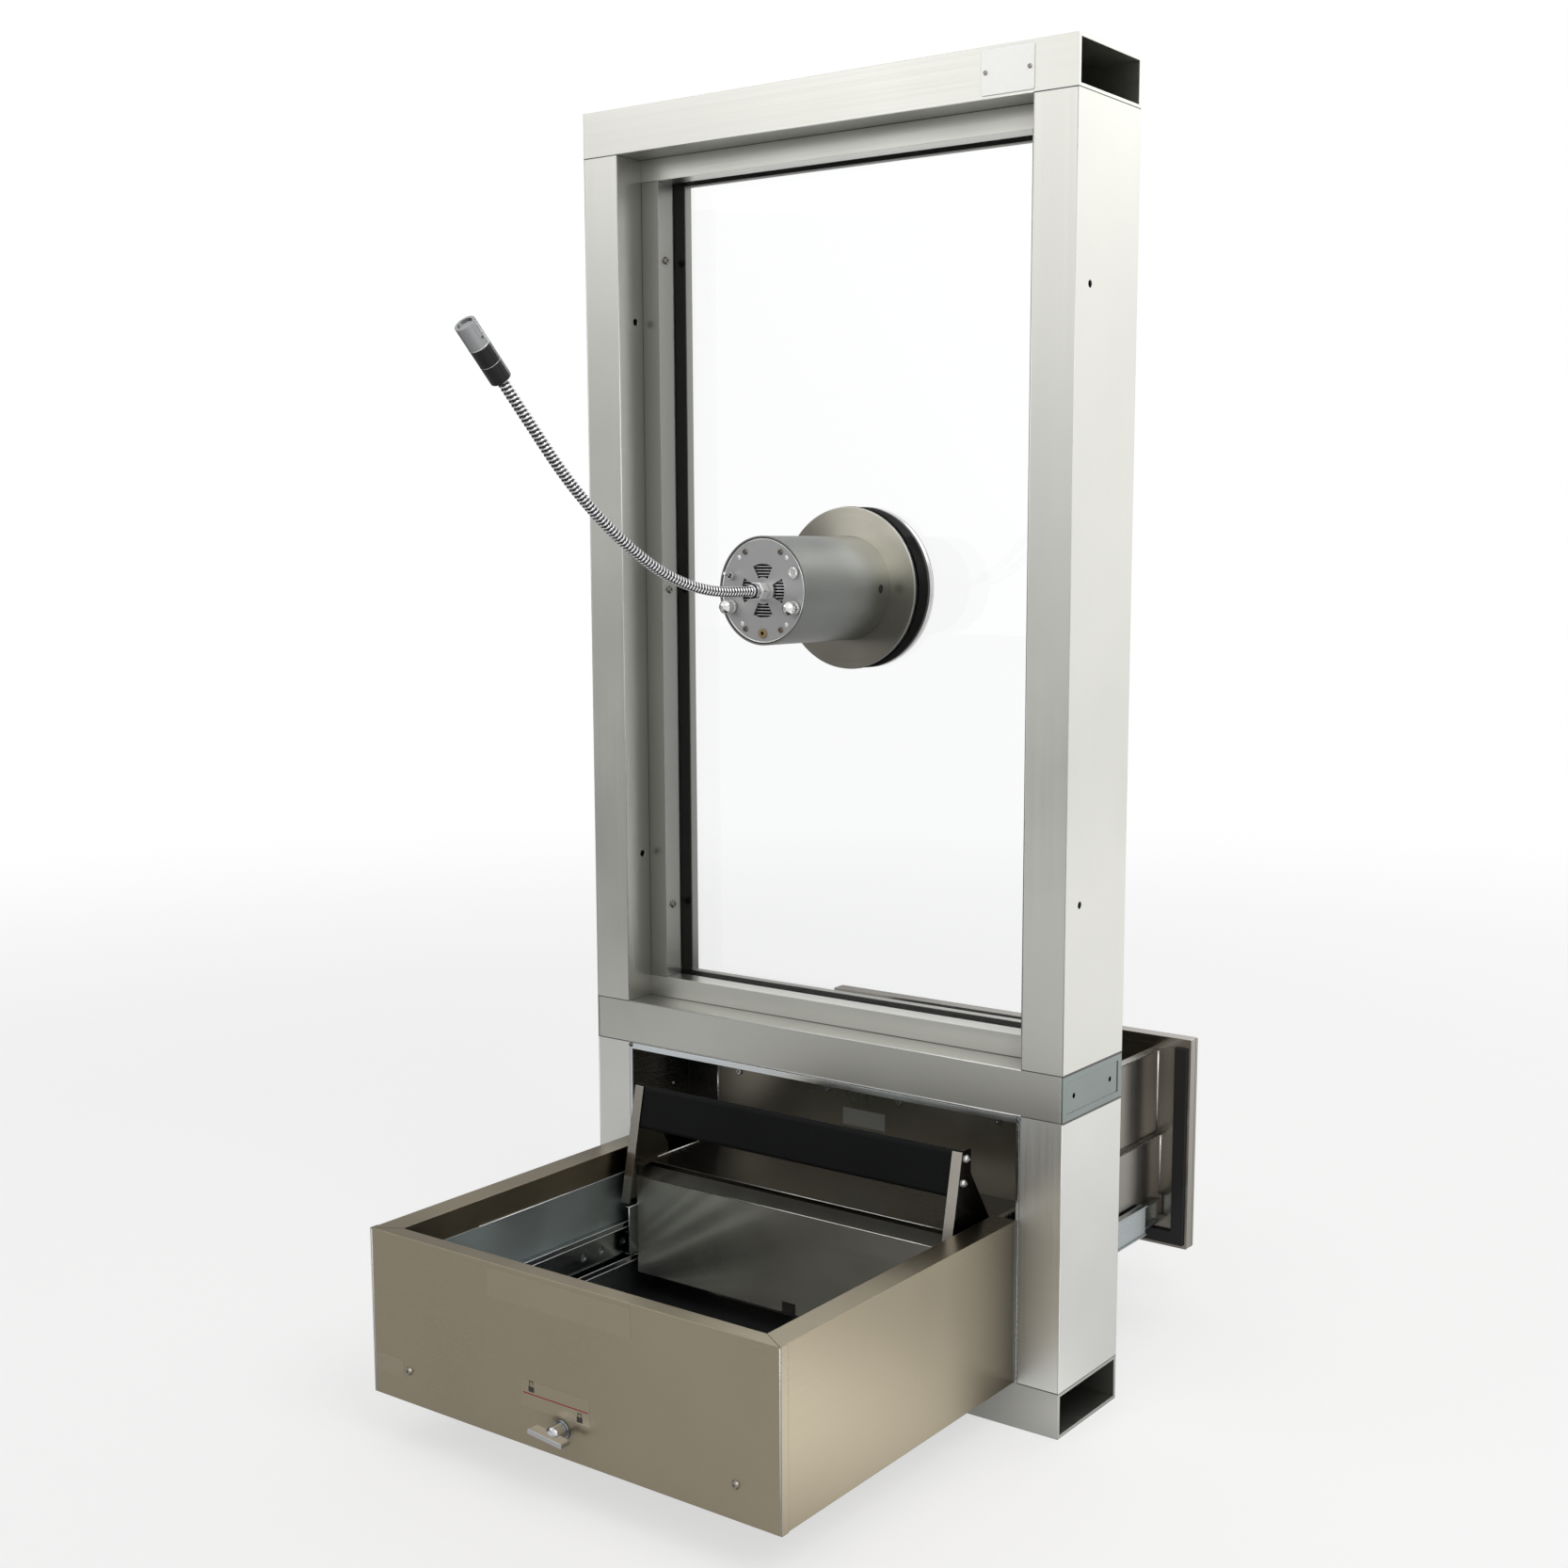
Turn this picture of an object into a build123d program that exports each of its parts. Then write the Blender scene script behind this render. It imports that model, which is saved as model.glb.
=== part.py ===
from build123d import *
import os
from math import cos, hypot, radians, sin

# Teller transaction window: a glazed aluminium frame with a sliding deposit drawer below the
# glass and a talk-through intercom with a gooseneck microphone in the glass.
#
# Frame: origin at the middle of the sill's underside, +X to the teller's right, +Y towards the
# customer, +Z up.  The teller is on the -Y side.  Millimetres.  Setbacks are measured from the
# frame's teller face towards the customer; a negative setback stands out on the teller's side.

# ---- aluminium frame -------------------------------------------------------------------------
frame_width = 571.5            # 22 1/2 in over the jambs
frame_height = 1263.65         # 49 3/4 in over sill and header
frame_depth = 114.3            # 4 1/2 in storefront tube
tube_face = 44.45              # 1 3/4 in face of every tube
tube_wall = 3.2
drawer_opening_height = 260.35
end_plate_thickness = 2.0
end_plate_panel_inset = 7.0
end_plate_panel_depth = 0.8
end_plate_hole_radius = 2.6
end_plate_hole_offset = 22.0   # from the plate's front edge
fixing_hole_radius = 3.5       # wall fixings through both walls of the upper jambs
fixing_hole_setback = 25.4
fixing_hole_height = 505.0
fixing_hole_pitch = 552.0

# ---- glazing ----------------------------------------------------------------------------------
stop_width = 22.2
inner_stop_setback = 37.0
inner_stop_depth = 22.2
outer_stop_depth = 9.5
stop_wall = 2.0
tape_thickness = 1.6
glass_thickness = 31.75        # 1 1/4 in security glazing
glass_edge_gap = 3.2
setting_block_length = 60.0
setting_block_offset = 120.0
stop_screw_pitch = 335.0

# ---- fasteners --------------------------------------------------------------------------------
screw_head_radius = 4.0
screw_head_height = 2.4
screw_shank_radius = 1.9
screw_shank_length = 7.0
screw_hole_gap = 0.15
screw_socket_radius = 1.5
screw_socket_depth = 1.2

# ---- name plate (left bare) -------------------------------------------------------------------
plate_width = 54.0
plate_height = 39.0
plate_thickness = 1.0
plate_edge_inset = 70.75        # from the frame's right edge to the plate's middle
plate_corner = 2.0
plate_screw_inset = 4.5
plate_screw_scale = 0.55

# ---- drawer sleeve and housing ----------------------------------------------------------------
sleeve_wall = 2.0
sleeve_rear_gap = 16.3         # from the sleeve's customer end to the frame's
sleeve_front_lip = 7.0
sleeve_front_side_lip = 4.5
sleeve_rear_side_lip = 26.8
sleeve_rear_top_lip = 17.8
sleeve_rear_bottom_lip = 34.55
sleeve_window_gap = 3.0        # round the drawer and the slides in the rear lip's window
sleeve_screw_setback = 70.6
sleeve_screw_height = 244.0
housing_side_gap = 3.2         # to the drawer opening's side
housing_length = 365.0
housing_lift = 0.75
housing_height = 158.8
housing_sheet = 1.5
rim_width_side = 25.4
rim_width_front = 16.0
rim_drop = 26.0
front_wrap_width = 9.0
front_wrap_thickness = 1.2
housing_screw_inset = 19.7     # from the bracket's inner face
housing_screw_rise = 30.8
floor_thickness = 1.5

# ---- drawer ---------------------------------------------------------------------------------
drawer_travel = 276.0          # from the photographed pose back to closed
drawer_side_gap = 29.6         # from the drawer opening's side to the slide bracket's inner face
tray_sheet = 1.5
tray_lift = 40.8               # above the housing's underside
lower_tray_height = 101.0
upper_tray_step = 5.0
tray_head_gap = 22.8           # below the transom
tray_top_flange = 9.0
closed_front_gap = 50.0        # from the housing's front to the closed front wall
front_wall_drop = 16.0         # below the tray's bottom
front_wall_headroom = 12.0     # below the deck
bevel_depth = 17.0
bevel_rise = 7.5
deck_hem = 9.0
bulkhead_offset = 7.0          # in front of the sleeve's customer end
panel_closing_gap = 0.3
panel_thickness = 16.5
panel_side_gap = 7.6
panel_drop = 24.2              # below the tray's bottom
panel_head_gap = 6.7
panel_sheet = 1.5
panel_lip = 4.0
panel_top_lip = 10.0
gasket_width = 14.0
gasket_thickness = 4.7
bulkhead_screw_side_inset = 30.5
bulkhead_screw_inner = 45.5
bulkhead_screw_head_gap = 17.5

# ---- handle -----------------------------------------------------------------------------------
arm_sheet = 2.0
arm_flange_width = 11.0
arm_foot_reach = 23.0          # in front of the drawer's front wall
arm_foot_drop = 35.0           # below the deck
arm_head_offset = 2.0          # behind the front wall's face
arm_head_gap = 32.8            # below the transom
arm_head_depth = 15.5
arm_waist_drop = 23.0
arm_heel_depth = 51.0
arm_heel_rise = 10.0
arm_heel_drop = 22.0
arm_toe_depth = 14.0
grip_length = 43.5             # along the arm's front edge
grip_depth = 15.0
grip_corner = 4.0
grip_core_inset = 3.0
grip_screw_low = 14.5         # from the grip's lower edge
grip_screw_high = 37.5
grip_screw_depth = 9.5

# ---- telescopic slides ------------------------------------------------------------------------
slide_width = 12.7
slide_rise = 18.5              # above the tray's bottom
slide_gauge = 1.2
slide_gap = 0.3
outer_half = 22.85
middle_half = 16.5
inner_half = 12.5
outer_front_gap = 21.0         # from the housing's front
outer_rear_gap = 4.0           # from the sleeve's customer end
middle_length = 369.0
middle_reach = 235.0           # past the outer member's end at rest
inner_reach = 13.0             # in front of the drawer's front wall
inner_rear_gap = 7.5           # from the panel
inner_flange = 6.5
middle_reach_in = 9.3          # from the bracket face to the middle member's near lip
middle_reach_out = 2.3
middle_web_from = 4.1
outer_reach = 7.9
slide_hole_radius = 4.2
slide_hole_places = (44.0, 144.0, 234.0, 260.0, 294.0)  # from the outer member's front end
clip_rise = 39.5
clip_length = 14.0
clip_flange = 4.0
bracket_gauge = 1.5
bracket_flange_gap = 113.0     # from the housing's front to the top flange
bracket_foot = 18.0
bracket_front_tab = 31.0
bracket_tab_height = 28.0
bracket_rear_gap = 0.5

# ---- lock -------------------------------------------------------------------------------------
lock_rise = 1.0                # above the front wall's lower edge
lock_shaft_radius = 4.0
lock_running_gap = 0.05
lock_cam_gap = 3.5             # behind the closed front wall
lock_cam_thickness = 4.0
lock_cam_width = 12.0
lock_cam_reach = 22.0
lock_notch_width = 17.0
lock_notch_height = 11.0
lock_barrel_radius = 6.2
lock_barrel_length = 13.0
lock_nut_radius = 9.0
lock_nut_thickness = 1.5
lock_hub_radius = 7.0
lock_hub_length = 13.0
lock_bar_length = 40.0
lock_bar_height = 4.6
lock_bar_depth = 11.0
lock_bar_tilt = -6.0
lock_face_gap = 0.3

# ---- intercom ---------------------------------------------------------------------------------
intercom_x = 4.0
intercom_height = 788.4
body_radius = 50.8             # 4 in tube
body_wall = 1.6
body_front = -81.0
flange_radius = 79.4           # 6 1/4 in flange
flange_thickness = 2.0
flange_gasket = 2.5
neck_radius = 44.5
neck_wall = 2.0
glass_hole_radius = 46.0
disc_gasket = 3.0
outer_disc_thickness = 7.2
outer_disc_edge = 2.5
speaker_hole_radius = 2.2
speaker_ring_pitch = 7.0
speaker_rings = 4
side_hole_radius = 4.2
side_hole_setback = 40.5
under_hole_setback = 46.0
face_recess = 0.8
face_thickness = 2.5
face_edge_gap = 0.2
window_inner = 12.5
window_outer = 25.0
window_half_angle = 27.0
window_count = 4
grille_radius = 29.0
grille_rim = 2.4
grille_depth = 5.0
fin_thickness = 1.1
fin_pitch = 2.8
fin_count = 19
face_screw_circle = 41.5
face_screw_angles = (60, 120, 240, 300)
face_screw_scale = 0.7
jack_drop = 39.6
jack_bore_radius = 1.78
jack_bore_length = 12.0
jack_barrel_radius = 3.2
jack_collar_radius = 4.4
jack_collar_height = 1.5
toggle_x = -36.5
toggle_rise = 13.5
toggle_ring_radius = 3.6
toggle_ring_bore = 2.4
toggle_ring_height = 3.6
toggle_ball_radius = 2.1
toggle_pin_root = 1.1
toggle_pin_tip = 1.6
toggle_pin_length = 11.0
toggle_tilt = 12.0
knob_x = 37.0
knob_drop = 15.5
knob_radius = 6.6
knob_length = 15.5
knob_nose_radius = 3.6
knob_nose_length = 4.5
knob_flutes = 12
knob_flute_radius = 0.7
low_knob_rise = 17.0
low_knob_radius = 5.6
low_knob_length = 4.0
pot_shaft_radius = 3.0
pot_running_gap = 0.05
face_gap = 0.3

# ---- microphone ---------------------------------------------------------------------------------
socket_across_flats = 15.5
socket_length = 11.0
socket_pin_radius = 3.0
socket_pin_length = 6.0
ferrule_radius = 7.2
ferrule_length = 7.5
goose_crest = 5.0
goose_valley = 4.3
goose_bore = 3.0
goose_ribs = 150
goose_start_straight = 29.0
goose_first_radius = 250.0
goose_first_turn = 27.0
goose_second_radius = 450.0
goose_second_turn = 19.5
goose_end_straight = 73.0
rib_rise = 0.25                # share of a rib's pitch at which its crest starts
rib_crest = 0.60
rib_fall = 0.85
mic_radius = 9.0
mic_sleeve_length = 33.5
mic_head_length = 21.0
mic_recess_radius = 6.5
mic_recess_depth = 1.5
mic_vent_radius = 1.3
mic_end_round = 0.8

# ---- places worked out from the sizes above -----------------------------------------------------
front = -frame_depth / 2
rear = frame_depth / 2
opening_half = frame_width / 2 - tube_face
transom_bottom = tube_face + drawer_opening_height
transom_top = transom_bottom + tube_face
header_bottom = frame_height - tube_face
glazing_middle = (transom_top + header_bottom) / 2

inner_tape_front = inner_stop_setback + inner_stop_depth
glass_front = inner_tape_front + tape_thickness
glass_back = glass_front + glass_thickness
outer_stop_front = glass_back + tape_thickness
outer_stop_back = outer_stop_front + outer_stop_depth

sleeve_length = frame_depth - sleeve_rear_gap
sleeve_inner_half = opening_half - sleeve_wall
plate_centre_x = frame_width / 2 - plate_edge_inset

housing_half = opening_half - housing_side_gap
housing_front = -housing_length
housing_bottom = tube_face + housing_lift
housing_top = housing_bottom + housing_height
floor_bottom = housing_bottom + housing_sheet
floor_top = floor_bottom + floor_thickness
housing_screw_height = housing_bottom + housing_screw_rise

bracket_face = opening_half - drawer_side_gap
bracket_top = housing_top - rim_drop
bracket_flange_from = housing_front + bracket_flange_gap
housing_screw_x = bracket_face - housing_screw_inset

tray_half = bracket_face - slide_width
upper_half = tray_half - upper_tray_step
tray_bottom = housing_bottom + tray_lift
deck_top = tray_bottom + lower_tray_height
tray_top = transom_bottom - tray_head_gap
front_wall_setback = housing_front + closed_front_gap + drawer_travel
front_wall_bottom = tray_bottom - front_wall_drop
front_wall_top = deck_top - front_wall_headroom
bevel_back_setback = front_wall_setback + bevel_depth
bulkhead_setback = sleeve_length - bulkhead_offset
bulkhead_screw_outer = upper_half - bulkhead_screw_side_inset
bulkhead_screw_height = tray_top - bulkhead_screw_head_gap

panel_back = sleeve_length + panel_closing_gap + drawer_travel + gasket_thickness
panel_setback = panel_back - panel_sheet
panel_half = opening_half - panel_side_gap
panel_bottom = tray_bottom - panel_drop
panel_top = transom_bottom - panel_head_gap

slide_height = tray_bottom + slide_rise
outer_from = housing_front + outer_front_gap
outer_to = sleeve_length - outer_rear_gap
middle_to = outer_to + middle_reach
middle_from = middle_to - middle_length
inner_from = front_wall_setback - inner_reach
inner_to = panel_setback - inner_rear_gap

lock_height = front_wall_bottom + lock_rise
lock_notch_top = front_wall_bottom + lock_notch_height
lock_cam_front = front_wall_setback - drawer_travel + tray_sheet + lock_cam_gap
lock_shaft_end = lock_cam_front + lock_cam_thickness
HANDS = ((-1, "left"), (1, "right"))


def setback(distance):
    """Y of a plane that lies this far behind the frame's teller face."""
    return front + distance


def save(piece, name):
    """Label a finished piece and write it as its own STEP file."""
    piece.part.label = name
    export_step(piece.part, f"parts/{name}.step")


def slab(x, y, z, mode=Mode.ADD):
    """A block between two limits on each axis, in either order."""
    (x_lo, x_hi), (y_lo, y_hi), (z_lo, z_hi) = sorted(x), sorted(y), sorted(z)
    with BuildSketch(Plane.XY.offset(z_lo)) as outline:
        with Locations(((x_lo + x_hi) / 2, (y_lo + y_hi) / 2)):
            Rectangle(x_hi - x_lo, y_hi - y_lo)
    extrude(outline.sketch, amount=z_hi - z_lo, mode=mode)


def prism_along_x(points, x, mode=Mode.ADD):
    """A polygon of (y, z) points carried along X between two limits."""
    x_lo, x_hi = sorted(x)
    with BuildSketch(Plane.YZ.offset(x_lo)) as outline:
        with BuildLine():
            Polyline(*points, close=True)
        make_face()
    extrude(outline.sketch, amount=x_hi - x_lo, mode=mode)


def prism_along_y(points, y, mode=Mode.ADD):
    """A polygon of (x, z) points carried along Y between two limits."""
    y_lo, y_hi = sorted(y)
    with BuildSketch(Plane.XZ.offset(-y_lo)) as outline:
        with BuildLine():
            Polyline(*points, close=True)
        make_face()
    extrude(outline.sketch, amount=y_lo - y_hi, mode=mode)


def rod_along_y(centre, radius, y, bore=0.0, mode=Mode.ADD):
    """A round bar or ring on an axis along Y; centre is (x, z)."""
    y_lo, y_hi = sorted(y)
    with BuildSketch(Plane.XZ.offset(-y_lo)) as outline:
        with Locations(centre):
            Circle(radius)
            if bore > 0:
                Circle(bore, mode=Mode.SUBTRACT)
    extrude(outline.sketch, amount=y_lo - y_hi, mode=mode)


def rod_along_x(centre, radius, x, mode=Mode.ADD):
    """A round bar on an axis along X; centre is (y, z)."""
    x_lo, x_hi = sorted(x)
    with BuildSketch(Plane.YZ.offset(x_lo)) as outline:
        with Locations(centre):
            Circle(radius)
    extrude(outline.sketch, amount=x_hi - x_lo, mode=mode)


def screw(seat, scale=1.0, shank=screw_shank_length):
    """A button-head socket screw; seat is the plane its head rests on, its normal the head's side."""
    with BuildSketch(seat) as head:
        Circle(screw_head_radius * scale)
    extrude(head.sketch, amount=screw_head_height * scale, taper=24)
    with BuildSketch(seat) as body:
        Circle(screw_shank_radius * scale)
    extrude(body.sketch, amount=-shank)
    with BuildSketch(seat.offset(screw_head_height * scale)) as socket:
        RegularPolygon(screw_socket_radius * scale, 6)
    extrude(socket.sketch, amount=-screw_socket_depth * scale, mode=Mode.SUBTRACT)


os.makedirs("parts", exist_ok=True)

# ================================================================================================
# Frame tubes.  Sill, transom and header run the full width; the jambs stand between them.
# ================================================================================================


def cross_tube(bottom, length):
    """A hollow tube along X with open ends."""
    with BuildSketch(Plane.YZ.offset(-length / 2)) as section:
        with Locations((0, bottom + tube_face / 2)):
            Rectangle(frame_depth, tube_face)
            Rectangle(frame_depth - 2 * tube_wall, tube_face - 2 * tube_wall, mode=Mode.SUBTRACT)
    extrude(section.sketch, amount=length)


def jamb_tube(hand, bottom, top):
    """A hollow upright tube at one side of the frame."""
    with BuildSketch(Plane.XY.offset(bottom)) as section:
        with Locations((hand * (frame_width - tube_face) / 2, 0)):
            Rectangle(tube_face, frame_depth)
            Rectangle(tube_face - 2 * tube_wall, frame_depth - 2 * tube_wall, mode=Mode.SUBTRACT)
    extrude(section.sketch, amount=top - bottom)


with BuildPart() as sill_tube:
    cross_tube(0, frame_width)
save(sill_tube, "sill_tube")

with BuildPart() as transom_tube:
    cross_tube(transom_bottom, frame_width - 2 * end_plate_thickness)
save(transom_tube, "transom_tube")

with BuildPart() as header_tube:
    cross_tube(header_bottom, frame_width)
    for side in (-1, 1):
        hole_x = plate_centre_x + side * (plate_width / 2 - plate_screw_inset)
        plate_hole = screw_shank_radius * plate_screw_scale + screw_hole_gap
        rod_along_y((hole_x, frame_height - tube_face / 2), plate_hole,
                    (front, front + tube_wall), mode=Mode.SUBTRACT)
save(header_tube, "header_tube")

with BuildPart() as transom_end_plates:
    for hand, _ in HANDS:
        outside = hand * frame_width / 2
        inside = hand * (frame_width / 2 - end_plate_thickness)
        slab((inside, outside), (front, rear), (transom_bottom, transom_top))
        slab((outside - hand * end_plate_panel_depth, outside),
             (front + end_plate_panel_inset, rear - end_plate_panel_inset),
             (transom_bottom + end_plate_panel_inset, transom_top - end_plate_panel_inset),
             mode=Mode.SUBTRACT)
        for end in (-1, 1):
            hole = (end * (rear - end_plate_hole_offset), (transom_bottom + transom_top) / 2)
            rod_along_x(hole, end_plate_hole_radius, (inside, outside), mode=Mode.SUBTRACT)
save(transom_end_plates, "transom_end_plates")

for hand, hand_name in HANDS:
    with BuildPart() as lower_jamb:
        jamb_tube(hand, tube_face, transom_bottom)
    save(lower_jamb, f"lower_jamb_{hand_name}")

    with BuildPart() as upper_jamb:
        jamb_tube(hand, transom_top, header_bottom)
        for height in (fixing_hole_height, fixing_hole_height + fixing_hole_pitch):
            rod_along_x((setback(fixing_hole_setback), height), fixing_hole_radius,
                        (hand * opening_half, hand * frame_width / 2), mode=Mode.SUBTRACT)
        for step in (-1, 0, 1):
            stop_screw_at = (setback(inner_stop_setback + inner_stop_depth / 2),
                             glazing_middle + step * stop_screw_pitch)
            rod_along_x(stop_screw_at, screw_shank_radius + screw_hole_gap,
                        (hand * opening_half, hand * (opening_half + tube_wall)), mode=Mode.SUBTRACT)
    save(upper_jamb, f"upper_jamb_{hand_name}")

# ================================================================================================
# Glazing: stops, sealing tapes, setting blocks and the security glass.  The cross stops run the
# full width and the side stops stand between them.
# ================================================================================================


def ring_of_opening(y, width, reach=0.0):
    """A rectangular ring lying against the edge of the glazed opening."""
    y_lo, y_hi = sorted(y)
    with BuildSketch(Plane.XZ.offset(-y_lo)) as section:
        with Locations((0, glazing_middle)):
            Rectangle(2 * (opening_half - reach), header_bottom - transom_top - 2 * reach)
            Rectangle(2 * (opening_half - width), header_bottom - transom_top - 2 * width,
                      mode=Mode.SUBTRACT)
    extrude(section.sketch, amount=y_lo - y_hi)


side_stop_run = (transom_top + stop_width, header_bottom - stop_width)
with BuildPart() as inner_side_stops:
    for hand, _ in HANDS:
        x_face = hand * (opening_half - stop_width)
        x_back = hand * opening_half
        y_front = setback(inner_stop_setback)
        y_back = setback(inner_stop_setback + inner_stop_depth)
        slab((x_face, x_back), (y_front, y_back), side_stop_run)
        slab((x_face + hand * stop_wall, x_back), (y_front + stop_wall, y_back - stop_wall),
             side_stop_run, mode=Mode.SUBTRACT)
        for step in (-1, 0, 1):
            rod_along_x(((y_front + y_back) / 2, glazing_middle + step * stop_screw_pitch),
                        screw_shank_radius + screw_hole_gap,
                        (x_face, x_face + hand * stop_wall), mode=Mode.SUBTRACT)
save(inner_side_stops, "inner_side_stops")

with BuildPart() as inner_cross_stops:
    x_limits = (-opening_half, opening_half)
    y_limits = (setback(inner_stop_setback), setback(inner_stop_setback + inner_stop_depth))
    y_hollow = (y_limits[0] + stop_wall, y_limits[1] - stop_wall)
    for edge, inward in ((transom_top, 1), (header_bottom, -1)):
        slab(x_limits, y_limits, (edge, edge + inward * stop_width))
        slab(x_limits, y_hollow, (edge, edge + inward * (stop_width - stop_wall)), mode=Mode.SUBTRACT)
save(inner_cross_stops, "inner_cross_stops")

with BuildPart() as outer_stops:
    y_limits = (setback(outer_stop_front), setback(outer_stop_back))
    for hand, _ in HANDS:
        slab((hand * (opening_half - stop_width), hand * opening_half), y_limits, side_stop_run)
save(outer_stops, "outer_side_stops")

with BuildPart() as outer_cross_stops:
    for edge, inward in ((transom_top, 1), (header_bottom, -1)):
        slab(x_limits, y_limits, (edge, edge + inward * stop_width))
save(outer_cross_stops, "outer_cross_stops")

with BuildPart() as glazing_tapes:
    ring_of_opening((setback(inner_tape_front), setback(glass_front)), stop_width)
    ring_of_opening((setback(glass_back), setback(outer_stop_front)), stop_width)
save(glazing_tapes, "glazing_tapes")

with BuildPart() as glass_pane:
    glass_half = opening_half - glass_edge_gap
    slab((-glass_half, glass_half), (setback(glass_front), setback(glass_back)),
         (transom_top + glass_edge_gap, header_bottom - glass_edge_gap))
    rod_along_y((intercom_x, intercom_height), glass_hole_radius,
                (setback(glass_front), setback(glass_back)), mode=Mode.SUBTRACT)
save(glass_pane, "glass_pane")

with BuildPart() as setting_blocks:
    for hand, _ in HANDS:
        centre_x = hand * setting_block_offset
        slab((centre_x - setting_block_length / 2, centre_x + setting_block_length / 2),
             (setback(glass_front), setback(glass_back)), (transom_top, transom_top + glass_edge_gap))
save(setting_blocks, "setting_blocks")

with BuildPart() as frame_screws:
    stop_seat_y = setback(inner_stop_setback + inner_stop_depth / 2)
    stop_shank = stop_width + tube_wall
    for hand, _ in HANDS:
        for step in (-1, 0, 1):
            seat_at = (hand * (opening_half - stop_width), stop_seat_y,
                       glazing_middle + step * stop_screw_pitch)
            screw(Plane(origin=seat_at, z_dir=(-hand, 0, 0)), shank=stop_shank)
        seat_at = (hand * sleeve_inner_half, setback(sleeve_screw_setback), sleeve_screw_height)
        screw(Plane(origin=seat_at, z_dir=(-hand, 0, 0)), shank=sleeve_wall)
save(frame_screws, "frame_screws")

# ================================================================================================
# Name plate on the header, left bare, with its two screws.
# ================================================================================================
plate_centre_z = frame_height - tube_face / 2
with BuildPart() as name_plate:
    with BuildSketch(Plane.XZ.offset(-front)):
        with Locations((plate_centre_x, plate_centre_z)):
            RectangleRounded(plate_width, plate_height, plate_corner)
        with Locations((plate_centre_x - plate_width / 2 + plate_screw_inset, plate_centre_z),
                       (plate_centre_x + plate_width / 2 - plate_screw_inset, plate_centre_z)):
            Circle(screw_shank_radius * plate_screw_scale + screw_hole_gap, mode=Mode.SUBTRACT)
    extrude(amount=plate_thickness)
save(name_plate, "name_plate")

with BuildPart() as plate_screws:
    for side in (-1, 1):
        seat_at = (plate_centre_x + side * (plate_width / 2 - plate_screw_inset),
                   front - plate_thickness, plate_centre_z)
        screw(Plane(origin=seat_at, z_dir=(0, -1, 0)), plate_screw_scale, plate_thickness + tube_wall)
save(plate_screws, "plate_screws")

# ================================================================================================
# Drawer sleeve: the folded liner of the drawer opening, with a lip at the teller's end and a
# wider one that the closed panel seals against at the customer's end.  The window in the wider lip
# is stepped: it follows the slides, then the lower tray, then the narrower upper tray.
# ================================================================================================
lip_window_half = opening_half - sleeve_rear_side_lip
lip_window_bottom = tube_face + sleeve_rear_bottom_lip
lip_window_top = transom_bottom - sleeve_rear_top_lip
slide_clearance_top = slide_height + outer_half + sleeve_window_gap
deck_clearance_top = deck_top + sleeve_window_gap
lip_window_steps = ((lip_window_half, lip_window_bottom, slide_clearance_top),
                    (tray_half + sleeve_window_gap, slide_clearance_top, deck_clearance_top),
                    (upper_half + sleeve_window_gap, deck_clearance_top, lip_window_top))
with BuildPart() as drawer_sleeve:
    slab((-opening_half, opening_half), (front, setback(sleeve_length)), (tube_face, transom_bottom))
    slab((-sleeve_inner_half, sleeve_inner_half), (setback(sleeve_wall), setback(sleeve_length - sleeve_wall)),
         (tube_face + sleeve_wall, transom_bottom - sleeve_wall), mode=Mode.SUBTRACT)
    slab((-opening_half + sleeve_front_side_lip, opening_half - sleeve_front_side_lip),
         (front, setback(sleeve_wall)), (tube_face + sleeve_wall, transom_bottom - sleeve_front_lip),
         mode=Mode.SUBTRACT)
    for window_half, window_bottom, window_top in lip_window_steps:
        slab((-window_half, window_half), (setback(sleeve_length - sleeve_wall), setback(sleeve_length)),
             (window_bottom, window_top), mode=Mode.SUBTRACT)
    for hand, _ in HANDS:
        rod_along_x((setback(sleeve_screw_setback), sleeve_screw_height), screw_shank_radius + screw_hole_gap,
                    (hand * sleeve_inner_half, hand * opening_half), mode=Mode.SUBTRACT)
save(drawer_sleeve, "drawer_sleeve")

# ================================================================================================
# Drawer housing on the teller's side: folded stainless box with an open top and a hollow rim.
# ================================================================================================
inner_wall_half = housing_half - housing_sheet
rim_half = housing_half - rim_width_side
y_front_out = setback(housing_front)
y_front_in = y_front_out + housing_sheet
y_rim_in = y_front_out + rim_width_front
with BuildPart() as housing_shell:
    slab((-housing_half, housing_half), (y_front_out, front), (housing_bottom, housing_top))
    slab((-inner_wall_half, inner_wall_half), (y_front_in, front),
         (floor_bottom, housing_top - housing_sheet), mode=Mode.SUBTRACT)
    slab((-rim_half, rim_half), (y_rim_in, front), (housing_top - housing_sheet, housing_top),
         mode=Mode.SUBTRACT)
    for hand, _ in HANDS:
        slab((hand * rim_half, hand * (rim_half + housing_sheet)), (y_rim_in, front),
             (bracket_top, housing_top - housing_sheet))
        slab((hand * housing_half, hand * (housing_half + front_wrap_thickness)),
             (y_front_out, y_front_out + front_wrap_width), (housing_bottom, housing_top))
        rod_along_y((hand * housing_screw_x, housing_screw_height), screw_shank_radius + screw_hole_gap,
                    (y_front_out, y_front_in), mode=Mode.SUBTRACT)
    slab((-rim_half - housing_sheet, rim_half + housing_sheet), (y_rim_in - housing_sheet, y_rim_in),
         (bracket_top, housing_top - housing_sheet))
    rod_along_y((0, lock_height), lock_barrel_radius, (y_front_out, y_front_in), mode=Mode.SUBTRACT)
save(housing_shell, "housing_shell")

with BuildPart() as floor_plate:
    slab((-inner_wall_half, inner_wall_half), (y_front_in, front), (floor_bottom, floor_top))
save(floor_plate, "floor_plate")

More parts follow.
